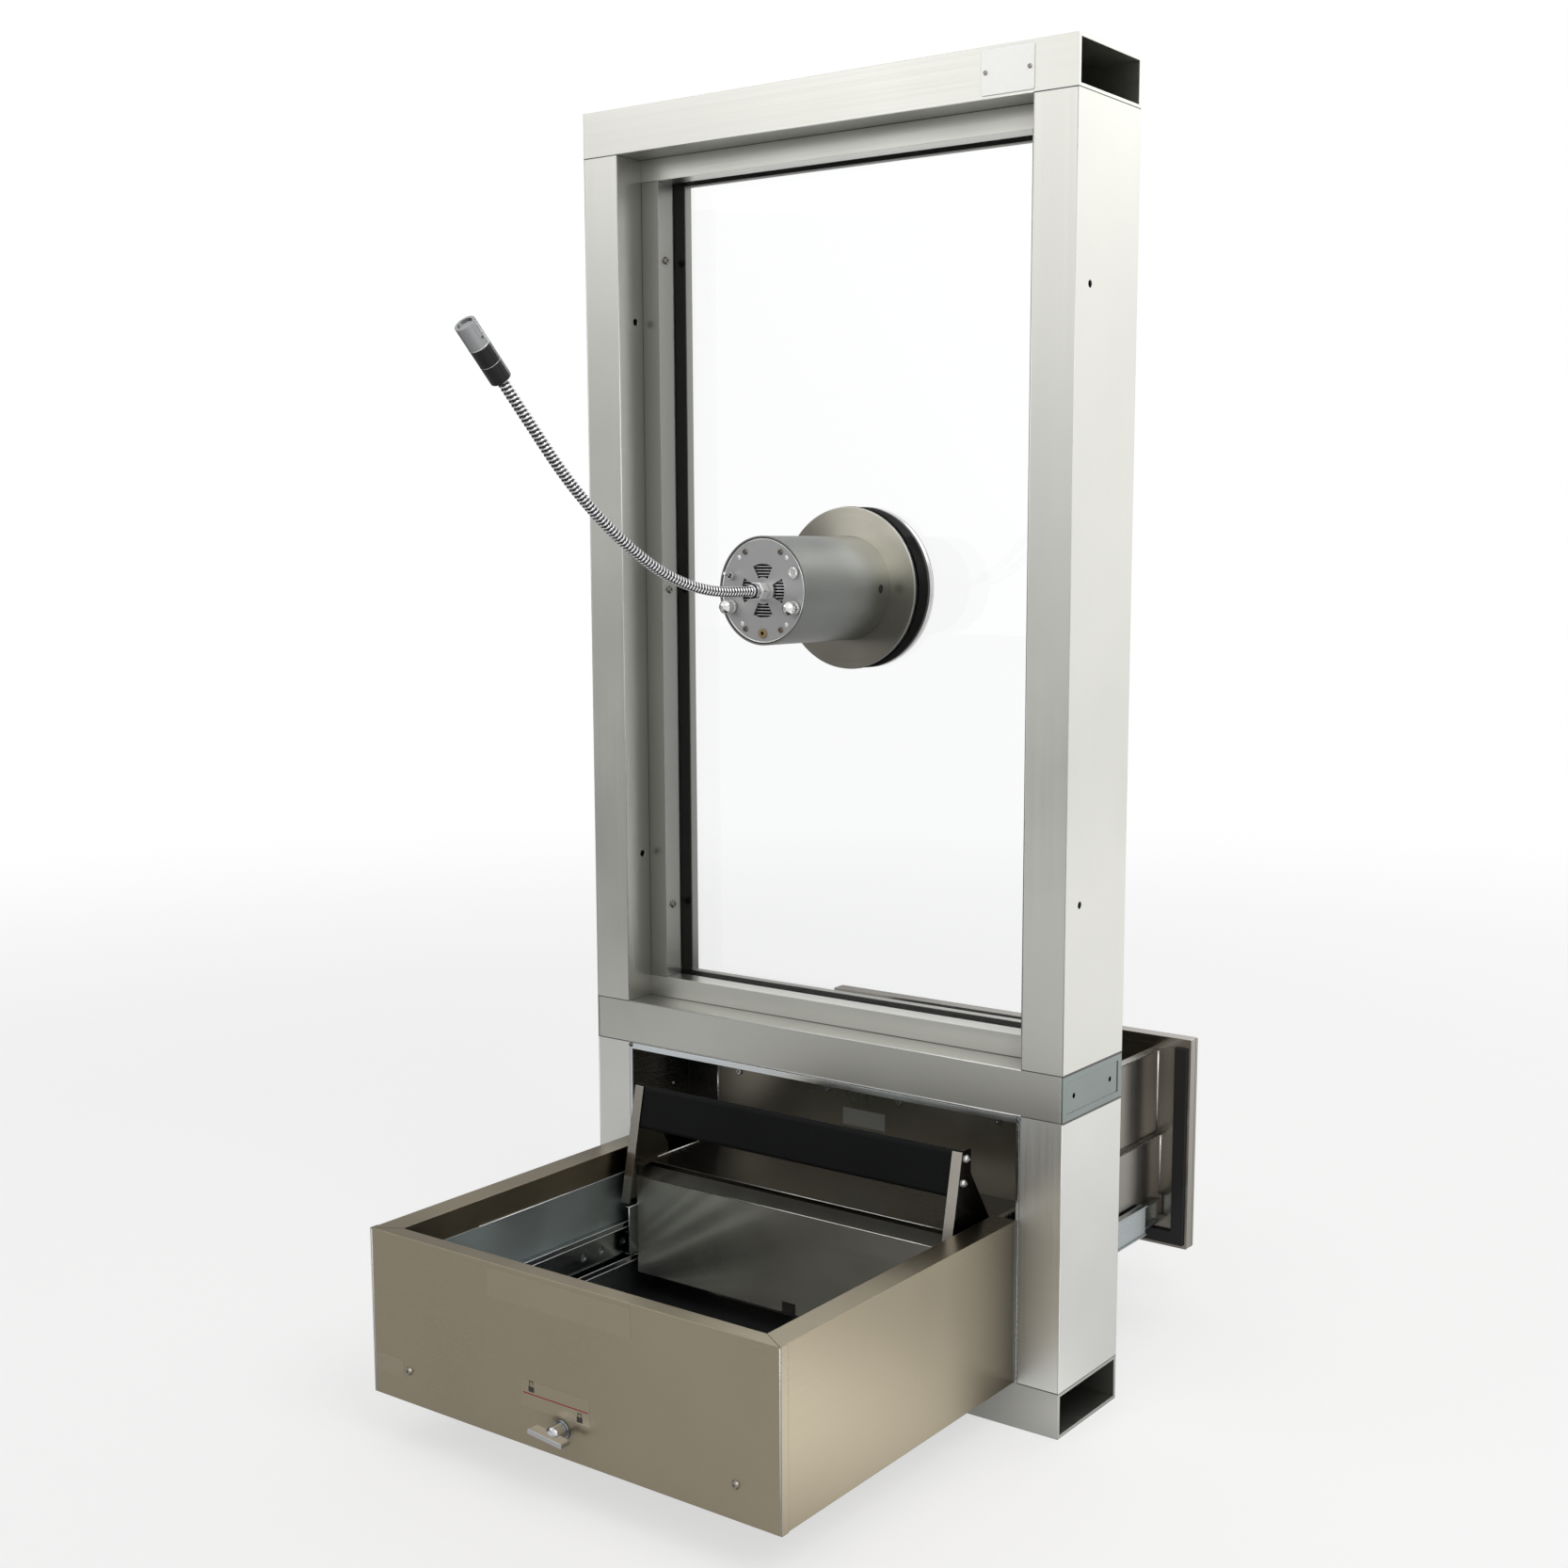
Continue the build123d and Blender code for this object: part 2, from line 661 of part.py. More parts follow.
with BuildPart() as housing_screws:
    for hand, _ in HANDS:
        seat_at = (hand * housing_screw_x, y_front_out, housing_screw_height)
        screw(Plane(origin=seat_at, z_dir=(0, -1, 0)), shank=housing_sheet + bracket_gauge)
save(housing_screws, "housing_screws")

# ================================================================================================
# Slide brackets and the three members of each telescopic slide.
# ================================================================================================
bracket_front = y_front_in
bracket_rear = setback(sleeve_length - sleeve_wall - bracket_rear_gap)


def slide_channel(hand, near, far, half, web, lip_to, y):
    """A C-section along Y: web and flanges between |x| limits near and far, lips at the near side."""
    low, high = slide_height - half, slide_height + half
    slab((hand * web, hand * (web + slide_gauge)), y, (low, high))
    for inward, edge in ((1, low), (-1, high)):
        slab((hand * near, hand * far), y, (edge, edge + inward * slide_gauge))
        slab((hand * near, hand * (near + slide_gauge)), y, (edge, slide_height - inward * lip_to))


for hand, hand_name in HANDS:
    plate_inside = bracket_face
    plate_outside = bracket_face + bracket_gauge
    with BuildPart() as slide_bracket:
        slab((hand * plate_inside, hand * plate_outside), (bracket_front, bracket_rear),
             (floor_top, bracket_top))
        slab((hand * plate_outside, hand * (plate_outside + bracket_foot)),
             (bracket_front, front), (floor_top, floor_top + bracket_gauge))
        slab((hand * plate_outside, hand * inner_wall_half), (setback(bracket_flange_from), front),
             (bracket_top - bracket_gauge, bracket_top))
        slab((hand * plate_inside, hand * (plate_outside - bracket_front_tab)),
             (bracket_front, bracket_front + bracket_gauge),
             (housing_screw_height - bracket_tab_height / 2, housing_screw_height + bracket_tab_height / 2))
        rod_along_y((hand * housing_screw_x, housing_screw_height), screw_shank_radius + screw_hole_gap,
                    (bracket_front, bracket_front + bracket_gauge), mode=Mode.SUBTRACT)
    save(slide_bracket, f"slide_bracket_{hand_name}")

    with BuildPart() as slide_outer:
        slide_channel(hand, bracket_face - outer_reach, bracket_face, outer_half,
                      bracket_face - slide_gauge, middle_half + slide_gap,
                      (setback(outer_from), setback(outer_to)))
        for hole_at in slide_hole_places:
            rod_along_x((setback(outer_from + hole_at), slide_height), slide_hole_radius,
                        (hand * (bracket_face - slide_gauge), hand * bracket_face), mode=Mode.SUBTRACT)
    save(slide_outer, f"slide_outer_{hand_name}")

    with BuildPart() as slide_middle:
        slide_channel(hand, bracket_face - middle_reach_in, bracket_face - middle_reach_out, middle_half,
                      bracket_face - middle_web_from - slide_gauge, inner_half + slide_gap,
                      (setback(middle_from), setback(middle_to)))
    save(slide_middle, f"slide_middle_{hand_name}")

with BuildPart() as slide_inners:
    for hand, _ in HANDS:
        member = (setback(inner_from), setback(inner_to))
        slab((hand * tray_half, hand * (tray_half + slide_gauge)), member,
             (slide_height - inner_half, slide_height + inner_half))
        for inward, edge in ((1, slide_height - inner_half), (-1, slide_height + inner_half)):
            slab((hand * tray_half, hand * (tray_half + inner_flange)), member,
                 (edge, edge + inward * slide_gauge))
        clip = (setback(inner_from), setback(inner_from + clip_length))
        slab((hand * tray_half, hand * (tray_half + slide_gauge)), clip,
             (slide_height, slide_height + clip_rise))
        slab((hand * tray_half, hand * (tray_half + clip_flange)), clip,
             (slide_height + clip_rise - slide_gauge, slide_height + clip_rise))
save(slide_inners, "slide_inner_members")

# ================================================================================================
# Drawer: pan with stepped sides, deck, bulkhead, brushed front wall.
# ================================================================================================
pan_front = front_wall_setback + tray_sheet
with BuildPart() as tray_pan:
    run = (setback(pan_front), setback(panel_back))
    cell = (setback(bulkhead_setback + tray_sheet), setback(panel_back))
    slab((-tray_half, tray_half), run, (tray_bottom, tray_bottom + tray_sheet))
    for hand, _ in HANDS:
        slab((hand * (tray_half - tray_sheet), hand * tray_half), run, (tray_bottom, deck_top))
        slab((hand * (upper_half - tray_sheet), hand * tray_half), run, (deck_top - tray_sheet, deck_top))
        slab((hand * (upper_half - tray_sheet), hand * upper_half), cell, (deck_top - tray_sheet, tray_top))
        slab((hand * (upper_half - tray_sheet - tray_top_flange), hand * upper_half), cell,
             (tray_top - tray_sheet, tray_top))
save(tray_pan, "tray_pan")

inside_ledge = upper_half - tray_sheet
with BuildPart() as tray_deck:
    slab((-inside_ledge, inside_ledge), (setback(bevel_back_setback), setback(bulkhead_setback)),
         (deck_top - tray_sheet, deck_top))
    slab((-inside_ledge, inside_ledge),
         (setback(bevel_back_setback), setback(bevel_back_setback + tray_sheet)),
         (deck_top - deck_hem, deck_top))
save(tray_deck, "tray_deck")

with BuildPart() as tray_bulkhead:
    wall = (setback(bulkhead_setback), setback(bulkhead_setback + tray_sheet))
    slab((-inside_ledge, inside_ledge), wall, (tray_bottom + tray_sheet, deck_top))
    slab((-upper_half, upper_half), wall, (deck_top, tray_top))
    for screw_x in (-bulkhead_screw_outer, -bulkhead_screw_inner, bulkhead_screw_inner, bulkhead_screw_outer):
        rod_along_y((screw_x, bulkhead_screw_height), screw_shank_radius + screw_hole_gap, wall,
                    mode=Mode.SUBTRACT)
save(tray_bulkhead, "tray_bulkhead")

with BuildPart() as tray_front_wall:
    face = setback(front_wall_setback)
    back_edge = setback(bevel_back_setback)
    bevel_top = front_wall_top + bevel_rise
    prism_along_x(((face, front_wall_bottom), (face, front_wall_top), (back_edge, bevel_top),
                   (back_edge, bevel_top - tray_sheet), (face + tray_sheet, front_wall_top - tray_sheet / 2),
                   (face + tray_sheet, front_wall_bottom)), (-tray_half, tray_half))
    slab((-lock_notch_width / 2, lock_notch_width / 2), (face, face + tray_sheet),
         (front_wall_bottom, lock_notch_top), mode=Mode.SUBTRACT)
    for hand, _ in HANDS:
        slab((hand * (tray_half - tray_sheet), hand * tray_half), (face + tray_sheet, back_edge),
             (front_wall_bottom, bevel_top), mode=Mode.SUBTRACT)
save(tray_front_wall, "tray_front_wall")

# ================================================================================================
# Customer-side panel: folded pan, backing sheet and the gasket strips it closes on.
# ================================================================================================
with BuildPart() as customer_panel:
    slab((-panel_half, panel_half), (setback(panel_setback), setback(panel_setback + panel_thickness)),
         (panel_bottom, panel_top))
    slab((-panel_half + panel_sheet, panel_half - panel_sheet),
         (setback(panel_back), setback(panel_setback + panel_thickness - panel_sheet)),
         (panel_bottom + panel_sheet, panel_top - panel_sheet), mode=Mode.SUBTRACT)
    slab((-panel_half + panel_lip, panel_half - panel_lip), (setback(panel_setback), setback(panel_back)),
         (panel_bottom + panel_lip, panel_top - panel_top_lip), mode=Mode.SUBTRACT)
    fillet(customer_panel.edges().filter_by(Axis.Y).group_by(SortBy.LENGTH)[-1], panel_sheet - 0.1)
save(customer_panel, "customer_panel")

with BuildPart() as panel_backing:
    slab((-panel_half + panel_sheet, panel_half - panel_sheet),
         (setback(panel_back), setback(panel_back + panel_sheet)),
         (panel_bottom + panel_sheet, panel_top - panel_sheet))
save(panel_backing, "panel_backing")

with BuildPart() as panel_gasket:
    strip = (setback(panel_back - gasket_thickness), setback(panel_back))
    strip_out = panel_half - panel_lip
    strip_in = strip_out - gasket_width
    for hand, _ in HANDS:
        slab((hand * strip_in, hand * strip_out), strip, (panel_bottom + panel_lip, panel_top - panel_top_lip))
    slab((-strip_in, strip_in), strip, (panel_bottom + panel_lip, panel_bottom + panel_lip + gasket_width))
save(panel_gasket, "panel_gasket")

# ================================================================================================
# Handle: two flanged arms and a textured grip bar on a steel core between them.
# ================================================================================================
foot = (setback(front_wall_setback - arm_foot_reach), deck_top - arm_foot_drop)
head = (setback(front_wall_setback + arm_head_offset), transom_bottom - arm_head_gap)
arm_length = hypot(head[0] - foot[0], head[1] - foot[1])
along = ((head[0] - foot[0]) / arm_length, (head[1] - foot[1]) / arm_length)
across = (along[1], -along[0])


def on_arm(distance, depth):
    """(y, z) of a point this far up the arm's front edge and this deep behind it."""
    return (foot[0] + along[0] * distance + across[0] * depth,
            foot[1] + along[1] * distance + across[1] * depth)


grip_to = arm_length
grip_from = grip_to - grip_length


def grip_outline(inset):
    """The grip's section in the arm's slanted frame, drawn smaller by inset."""
    return (on_arm(grip_from + inset, arm_sheet + inset), on_arm(grip_to - inset, arm_sheet + inset),
            on_arm(grip_to - inset, arm_sheet + grip_depth - inset),
            on_arm(grip_from + inset, arm_sheet + grip_depth - inset))


grip_screw_places = [on_arm(grip_from + step, grip_screw_depth) for step in (grip_screw_low, grip_screw_high)]

for hand, hand_name in HANDS:
    arm_outside = tray_half + arm_sheet
    with BuildPart() as handle_arm:
        heel_y = setback(front_wall_setback + arm_heel_depth)
        prism_along_x((foot, head, (head[0] + arm_head_depth, head[1]),
                       (head[0] + arm_head_depth, head[1] - arm_waist_drop),
                       (heel_y, deck_top + arm_heel_rise),
                       (heel_y, deck_top - arm_heel_drop),
                       (setback(front_wall_setback + arm_toe_depth), foot[1])),
                      (hand * tray_half, hand * arm_outside))
        prism_along_x((foot, head, on_arm(arm_length, arm_sheet), on_arm(0, arm_sheet)),
                      (hand * (arm_outside - arm_flange_width), hand * arm_outside))
        for place in grip_screw_places:
            rod_along_x(place, screw_shank_radius + screw_hole_gap,
                        (hand * tray_half, hand * arm_outside), mode=Mode.SUBTRACT)
    save(handle_arm, f"handle_arm_{hand_name}")

with BuildPart() as grip_core:
    prism_along_x(grip_outline(grip_core_inset), (-tray_half, tray_half))
    for place in grip_screw_places:
        for hand, _ in HANDS:
            rod_along_x(place, screw_shank_radius + screw_hole_gap,
                        (hand * (tray_half - screw_shank_length), hand * tray_half), mode=Mode.SUBTRACT)
save(grip_core, "grip_core")

with BuildPart() as grip_cover:
    prism_along_x(grip_outline(0), (-tray_half, tray_half))
    fillet(grip_cover.edges().filter_by(Axis.X), grip_corner)
    prism_along_x(grip_outline(grip_core_inset), (-tray_half, tray_half), mode=Mode.SUBTRACT)
save(grip_cover, "grip_cover")

with BuildPart() as drawer_screws:
    for hand, _ in HANDS:
        for place in grip_screw_places:
            seat_at = (hand * (tray_half + arm_sheet), place[0], place[1])
            screw(Plane(origin=seat_at, z_dir=(hand, 0, 0)))
        for screw_x in (bulkhead_screw_inner, bulkhead_screw_outer):
            seat_at = (hand * screw_x, setback(bulkhead_setback), bulkhead_screw_height)
            screw(Plane(origin=seat_at, z_dir=(0, -1, 0)), shank=tray_sheet)
save(drawer_screws, "drawer_screws")

# ================================================================================================
# Lock: bushing in the housing's front, T-handle outside, shaft with a cam behind the front wall.
# ================================================================================================
bushing_face = y_front_out - lock_nut_thickness
hub_back = bushing_face - lock_face_gap
with BuildPart() as lock_bushing:
    rod_along_y((0, lock_height), lock_nut_radius, (bushing_face, y_front_out))
    rod_along_y((0, lock_height), lock_barrel_radius, (y_front_out, y_front_out + lock_barrel_length))
    rod_along_y((0, lock_height), lock_shaft_radius + lock_running_gap,
                (bushing_face, y_front_out + lock_barrel_length), mode=Mode.SUBTRACT)
save(lock_bushing, "lock_bushing")

with BuildPart() as lock_shaft:
    rod_along_y((0, lock_height), lock_shaft_radius, (hub_back, setback(lock_shaft_end)))
    with BuildSketch(Plane.XZ.offset(-setback(lock_shaft_end))) as cam:
        with Locations((0, lock_height)):
            Circle(lock_cam_width / 2)
        with Locations((0, lock_height - lock_cam_reach / 2)):
            Rectangle(lock_cam_width, lock_cam_reach)
    extrude(cam.sketch, amount=lock_cam_thickness)
save(lock_shaft, "lock_shaft")

with BuildPart() as lock_lever:
    rod_along_y((0, lock_height), lock_hub_radius, (hub_back - lock_hub_length, hub_back))
    fillet(lock_lever.faces().sort_by(Axis.Y)[0].edges(), lock_hub_radius / 2)
    bar_back = hub_back - lock_hub_length + lock_hub_radius / 2
    with BuildSketch(Plane.XZ.offset(-bar_back)) as bar:
        with Locations(Location((0, lock_height), lock_bar_tilt)):
            RectangleRounded(lock_bar_length, lock_bar_height, lock_bar_height / 4)
    extrude(bar.sketch, amount=lock_bar_depth)
save(lock_lever, "lock_lever")

# ================================================================================================
# Intercom: tube body with its flange and neck through the glass, gaskets and the outer disc.
# ================================================================================================
axis_at = (intercom_x, intercom_height)
flange_back = glass_front - flange_gasket
flange_front = flange_back - flange_thickness
disc_front = glass_back + disc_gasket
with BuildPart() as intercom_body:
    rod_along_y(axis_at, body_radius, (setback(body_front), setback(flange_front)),
                bore=body_radius - body_wall)
    rod_along_y(axis_at, flange_radius, (setback(flange_front), setback(flange_back)),
                bore=neck_radius - neck_wall)
    rod_along_y(axis_at, neck_radius, (setback(flange_back), setback(disc_front)),
                bore=neck_radius - neck_wall)
    rod_along_x((setback(side_hole_setback), intercom_height), side_hole_radius,
                (intercom_x, intercom_x + body_radius), mode=Mode.SUBTRACT)
    with BuildSketch(Plane.XY.offset(intercom_height - body_radius)) as under_hole:
        with Locations((intercom_x, setback(under_hole_setback))):
            Circle(side_hole_radius)
    extrude(under_hole.sketch, amount=body_radius, mode=Mode.SUBTRACT)
save(intercom_body, "intercom_body")

with BuildPart() as intercom_gaskets:
    rod_along_y(axis_at, flange_radius, (setback(flange_back), setback(glass_front)), bore=glass_hole_radius)
    rod_along_y(axis_at, flange_radius, (setback(glass_back), setback(disc_front)), bore=glass_hole_radius)
save(intercom_gaskets, "intercom_gaskets")

with BuildPart() as outer_disc:
    rod_along_y(axis_at, flange_radius, (setback(disc_front), setback(disc_front + outer_disc_thickness)))
    fillet(outer_disc.faces().sort_by(Axis.Y)[-1].edges(), outer_disc_edge)
    with BuildSketch(Plane.XZ.offset(-setback(disc_front))) as speaker_holes:
        with Locations(axis_at):
            Circle(speaker_hole_radius)
            for ring in range(1, speaker_rings + 1):
                with PolarLocations(ring * speaker_ring_pitch, 6 * ring):
                    Circle(speaker_hole_radius)
    extrude(speaker_holes.sketch, amount=-outer_disc_thickness, mode=Mode.SUBTRACT)
save(outer_disc, "outer_disc")

# ---- face plate with its windows, and the finned grille behind them -----------------------------
face_front = body_front + face_recess
face_back = face_front + face_thickness
face_y = setback(face_front)


def on_face(dx, dz):
    """(x, z) of a point given from the intercom's axis."""
    return (intercom_x + dx, intercom_height + dz)


with BuildPart() as intercom_face:
    rod_along_y(axis_at, body_radius - body_wall - face_edge_gap, (face_y, setback(face_back)))
    with BuildSketch(Plane.XZ.offset(-face_y)) as windows:
        for turn in range(window_count):
            begin = 360 / window_count * turn - window_half_angle
            with BuildLine():
                inner_arc = CenterArc(axis_at, window_inner, begin, 2 * window_half_angle)
                outer_arc = CenterArc(axis_at, window_outer, begin, 2 * window_half_angle)
                Line(inner_arc @ 0, outer_arc @ 0)
                Line(inner_arc @ 1, outer_arc @ 1)
            make_face()
    extrude(windows.sketch, amount=-face_thickness, mode=Mode.SUBTRACT)
    holes = [(on_face(0, -jack_drop), jack_barrel_radius), (on_face(0, 0), socket_across_flats / 2 - 1),
             (on_face(toggle_x, toggle_rise), toggle_ring_bore)]
    for angle in face_screw_angles:
        place = on_face(face_screw_circle * cos(radians(angle)), face_screw_circle * sin(radians(angle)))
        holes.append((place, screw_shank_radius * face_screw_scale + screw_hole_gap))
    for place in (on_face(-knob_x, -knob_drop), on_face(knob_x, -knob_drop), on_face(knob_x, low_knob_rise)):
        holes.append((place, pot_shaft_radius + pot_running_gap))
    for place, radius in holes:
        rod_along_y(place, radius, (face_y, setback(face_back)), mode=Mode.SUBTRACT)
save(intercom_face, "intercom_face")

with BuildPart() as speaker_grille:
    grille_run = (setback(face_back), setback(face_back + grille_depth))
    rod_along_y(axis_at, grille_radius, grille_run, bore=grille_radius - grille_rim)
    for index in range(fin_count):
        height = (index - (fin_count - 1) / 2) * fin_pitch
        reach = (grille_radius ** 2 - (abs(height) + fin_thickness) ** 2) ** 0.5 - grille_rim / 2
        slab((intercom_x - reach, intercom_x + reach), grille_run,
             (intercom_height + height - fin_thickness / 2, intercom_height + height + fin_thickness / 2))
save(speaker_grille, "speaker_grille")

with BuildPart() as face_screws:
    for angle in face_screw_angles:
        x, z = on_face(face_screw_circle * cos(radians(angle)), face_screw_circle * sin(radians(angle)))
        screw(Plane(origin=(x, face_y, z), z_dir=(0, -1, 0)), face_screw_scale)
save(face_screws, "face_screws")

with BuildPart() as headset_jack:
    jack_at = on_face(0, -jack_drop)
    rod_along_y(jack_at, jack_collar_radius, (face_y - jack_collar_height, face_y))
    rod_along_y(jack_at, jack_barrel_radius, (face_y, face_y + jack_bore_length))
    rod_along_y(jack_at, jack_bore_radius, (face_y - jack_collar_height, face_y - jack_collar_height + jack_bore_length),
                mode=Mode.SUBTRACT)
save(headset_jack, "headset_jack")

# ---- toggle switch ------------------------------------------------------------------------------
toggle_at = on_face(toggle_x, toggle_rise)
with BuildPart() as toggle_bushing:
    rod_along_y(toggle_at, toggle_ring_radius, (face_y - toggle_ring_height, face_y), bore=toggle_ring_bore)
save(toggle_bushing, "toggle_bushing")

toggle_pivot = Vector(toggle_at[0], face_y - toggle_ball_radius / 2, toggle_at[1])
pin_out = Vector(0, -cos(radians(toggle_tilt)), sin(radians(toggle_tilt)))
with BuildPart() as toggle_lever:
    with BuildSketch(Plane(origin=toggle_pivot, z_dir=pin_out)) as pin_root:
        Circle(toggle_pin_root)
    with BuildSketch(Plane(origin=toggle_pivot + pin_out * toggle_pin_length, z_dir=pin_out)) as pin_tip:
        Circle(toggle_pin_tip)
    loft([pin_root.sketch.face(), pin_tip.sketch.face()])
    with Locations(toggle_pivot):
        Sphere(toggle_ball_radius)
save(toggle_lever, "toggle_lever")

# ---- volume knobs and the low knurled knob --------------------------------------------------------


def knob_body(place, radius, length, flutes):
    """A fluted knob with its shaft through the face plate."""
    back_y = face_y - face_gap
    rod_along_y(place, radius, (back_y - length, back_y))
    with BuildSketch(Plane.XZ.offset(-(back_y - length))) as flute_cuts:
        with Locations(place):
            with PolarLocations(radius, flutes):
                Circle(knob_flute_radius)
    extrude(flute_cuts.sketch, amount=-length, mode=Mode.SUBTRACT)
    rod_along_y(place, pot_shaft_radius, (back_y, setback(face_back)))


for hand, hand_name in HANDS:
    with BuildPart() as volume_knob:
        knob_at = on_face(hand * knob_x, -knob_drop)
        knob_body(knob_at, knob_radius, knob_length - knob_nose_length, knob_flutes)
        nose_back = face_y - face_gap - knob_length + knob_nose_length
        with BuildSketch(Plane.XZ.offset(-nose_back)) as nose_root:
            with Locations(knob_at):
                Circle(knob_radius - 2 * knob_flute_radius)
        with BuildSketch(Plane.XZ.offset(-nose_back + knob_nose_length)) as nose_tip:
            with Locations(knob_at):
                Circle(knob_nose_radius)
        loft([nose_root.sketch.face(), nose_tip.sketch.face()])
    save(volume_knob, f"volume_knob_{hand_name}")

with BuildPart() as tone_knob:
    knob_body(on_face(knob_x, low_knob_rise), low_knob_radius, low_knob_length, knob_flutes)
save(tone_knob, "tone_knob")

# ================================================================================================
# Gooseneck microphone: fixed hex socket, ribbed flexible tube, black sleeve and silver head.
# ================================================================================================
socket_front = face_y - socket_length
with BuildPart() as mic_socket:
    with BuildSketch(Plane.XZ.offset(-face_y)):
        with Locations(axis_at):
            RegularPolygon(socket_across_flats / 2, 6, major_radius=False)
    extrude(amount=socket_length)
    rod_along_y(axis_at, socket_across_flats / 2 - 1, (face_y, setback(face_back)))
    rod_along_y(axis_at, socket_pin_radius + pot_running_gap, (socket_front, socket_front + socket_pin_length + face_gap),
                mode=Mode.SUBTRACT)
save(mic_socket, "mic_socket")


def goose_path():
    """Stations of the gooseneck's centre line: (length so far, y, z, heading in degrees above -Y)."""
    ferrule_front = socket_front - face_gap - ferrule_length
    first = radians(goose_first_turn) * goose_first_radius
    second = radians(goose_second_turn) * goose_second_radius
    total = goose_start_straight + first + second + goose_end_straight

    def at(distance):
        run = min(distance, goose_start_straight)
        y, z, heading = ferrule_front - run, intercom_height, 0.0
        distance -= run
        for radius, turn in ((goose_first_radius, goose_first_turn), (goose_second_radius, goose_second_turn)):
            step = min(max(distance, 0.0), radians(turn) * radius)
            new_heading = heading + step / radius * 180 / 3.141592653589793
            y -= radius * (sin(radians(new_heading)) - sin(radians(heading)))
            z += radius * (cos(radians(heading)) - cos(radians(new_heading)))
            heading = new_heading
            distance -= step
        rest = max(distance, 0.0)
        return y - rest * cos(radians(heading)), z + rest * sin(radians(heading)), heading

    return at, total


goose_at, goose_length = goose_path()


def goose_plane(distance):
    """The plane square to the gooseneck at this distance from the ferrule, its X axis along +X."""
    y, z, heading = goose_at(distance)
    return Plane(origin=(intercom_x, y, z), x_dir=(1, 0, 0),
                 z_dir=(0, -cos(radians(heading)), sin(radians(heading))))


with BuildPart() as gooseneck:
    pitch = goose_length / goose_ribs
    for rib in range(goose_ribs):
        for share, radius in ((0, goose_valley), (rib_rise, goose_crest), (rib_crest, goose_crest),
                              (rib_fall, goose_valley)):
            with BuildSketch(goose_plane((rib + share) * pitch)):
                Circle(radius)
    with BuildSketch(goose_plane(goose_length)):
        Circle(goose_valley)
    loft(ruled=True)
    ferrule_front = socket_front - face_gap - ferrule_length
    rod_along_y(axis_at, ferrule_radius, (ferrule_front, socket_front - face_gap))
    rod_along_y(axis_at, socket_pin_radius, (socket_front - face_gap, socket_front + socket_pin_length))
    with BuildLine() as bore_line:
        first_bend = goose_start_straight + radians(goose_first_turn) * goose_first_radius
        second_bend = first_bend + radians(goose_second_turn) * goose_second_radius
        lead_in = Line(goose_plane(0).origin, goose_plane(goose_start_straight).origin)
        bend_one = TangentArc(lead_in @ 1, goose_plane(first_bend).origin, tangent=lead_in % 1)
        bend_two = TangentArc(bend_one @ 1, goose_plane(second_bend).origin, tangent=bend_one % 1)
        Line(bend_two @ 1, goose_plane(goose_length).origin)
    with BuildSketch(goose_plane(0)) as bore:
        Circle(goose_bore)
    sweep(bore.sketch, path=bore_line.wires()[0], mode=Mode.SUBTRACT)
save(gooseneck, "gooseneck")
print("gooseneck length", round(goose_length, 1), "volume", round(gooseneck.part.volume, 1))

with BuildPart() as mic_sleeve:
    with BuildSketch(goose_plane(goose_length)):
        Circle(mic_radius)
    extrude(amount=mic_sleeve_length)
    fillet(mic_sleeve.faces().sort_by_distance(goose_plane(goose_length).origin)[0].edges(), mic_end_round)
save(mic_sleeve, "mic_sleeve")

mic_seam = goose_plane(goose_length).offset(mic_sleeve_length)
with BuildPart() as mic_head:
    with BuildSketch(mic_seam):
        Circle(mic_radius)
    extrude(amount=mic_head_length)
    with BuildSketch(mic_seam.offset(mic_head_length)) as recess:
        Circle(mic_recess_radius)
    extrude(recess.sketch, amount=-mic_recess_depth, mode=Mode.SUBTRACT)
    vent_plane = Plane(origin=mic_seam.offset(mic_head_length / 3).origin, z_dir=(1, 0, 0))
    with BuildSketch(vent_plane.offset(mic_radius - mic_recess_depth)) as vent:
        Circle(mic_vent_radius)
    extrude(vent.sketch, amount=mic_recess_depth + 1, mode=Mode.SUBTRACT)
save(mic_head, "mic_head")
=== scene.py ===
from math import cos, pi, radians, sin

import bmesh
import bpy
from mathutils import Matrix, Vector


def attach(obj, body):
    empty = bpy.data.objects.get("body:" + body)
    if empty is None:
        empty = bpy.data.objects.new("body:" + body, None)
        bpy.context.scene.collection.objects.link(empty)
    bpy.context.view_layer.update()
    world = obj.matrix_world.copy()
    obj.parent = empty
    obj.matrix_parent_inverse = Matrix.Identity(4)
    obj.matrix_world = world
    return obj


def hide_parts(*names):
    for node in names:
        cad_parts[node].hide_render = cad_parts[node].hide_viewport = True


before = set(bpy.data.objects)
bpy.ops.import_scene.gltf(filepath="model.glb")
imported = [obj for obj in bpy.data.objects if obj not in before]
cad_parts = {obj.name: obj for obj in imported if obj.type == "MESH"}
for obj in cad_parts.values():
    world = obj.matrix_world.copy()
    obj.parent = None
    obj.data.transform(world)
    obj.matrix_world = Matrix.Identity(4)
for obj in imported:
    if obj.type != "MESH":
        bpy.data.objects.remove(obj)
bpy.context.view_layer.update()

# ---- the studio ------------------------------------------------------------------------------
# A pale floor at the sill's underside, a white surround and three large soft lamps.  What metal
# mirrors is a quieter room: darker behind the camera's left and towards the floor.
scene = bpy.context.scene
scene.view_settings.view_transform = "Standard"


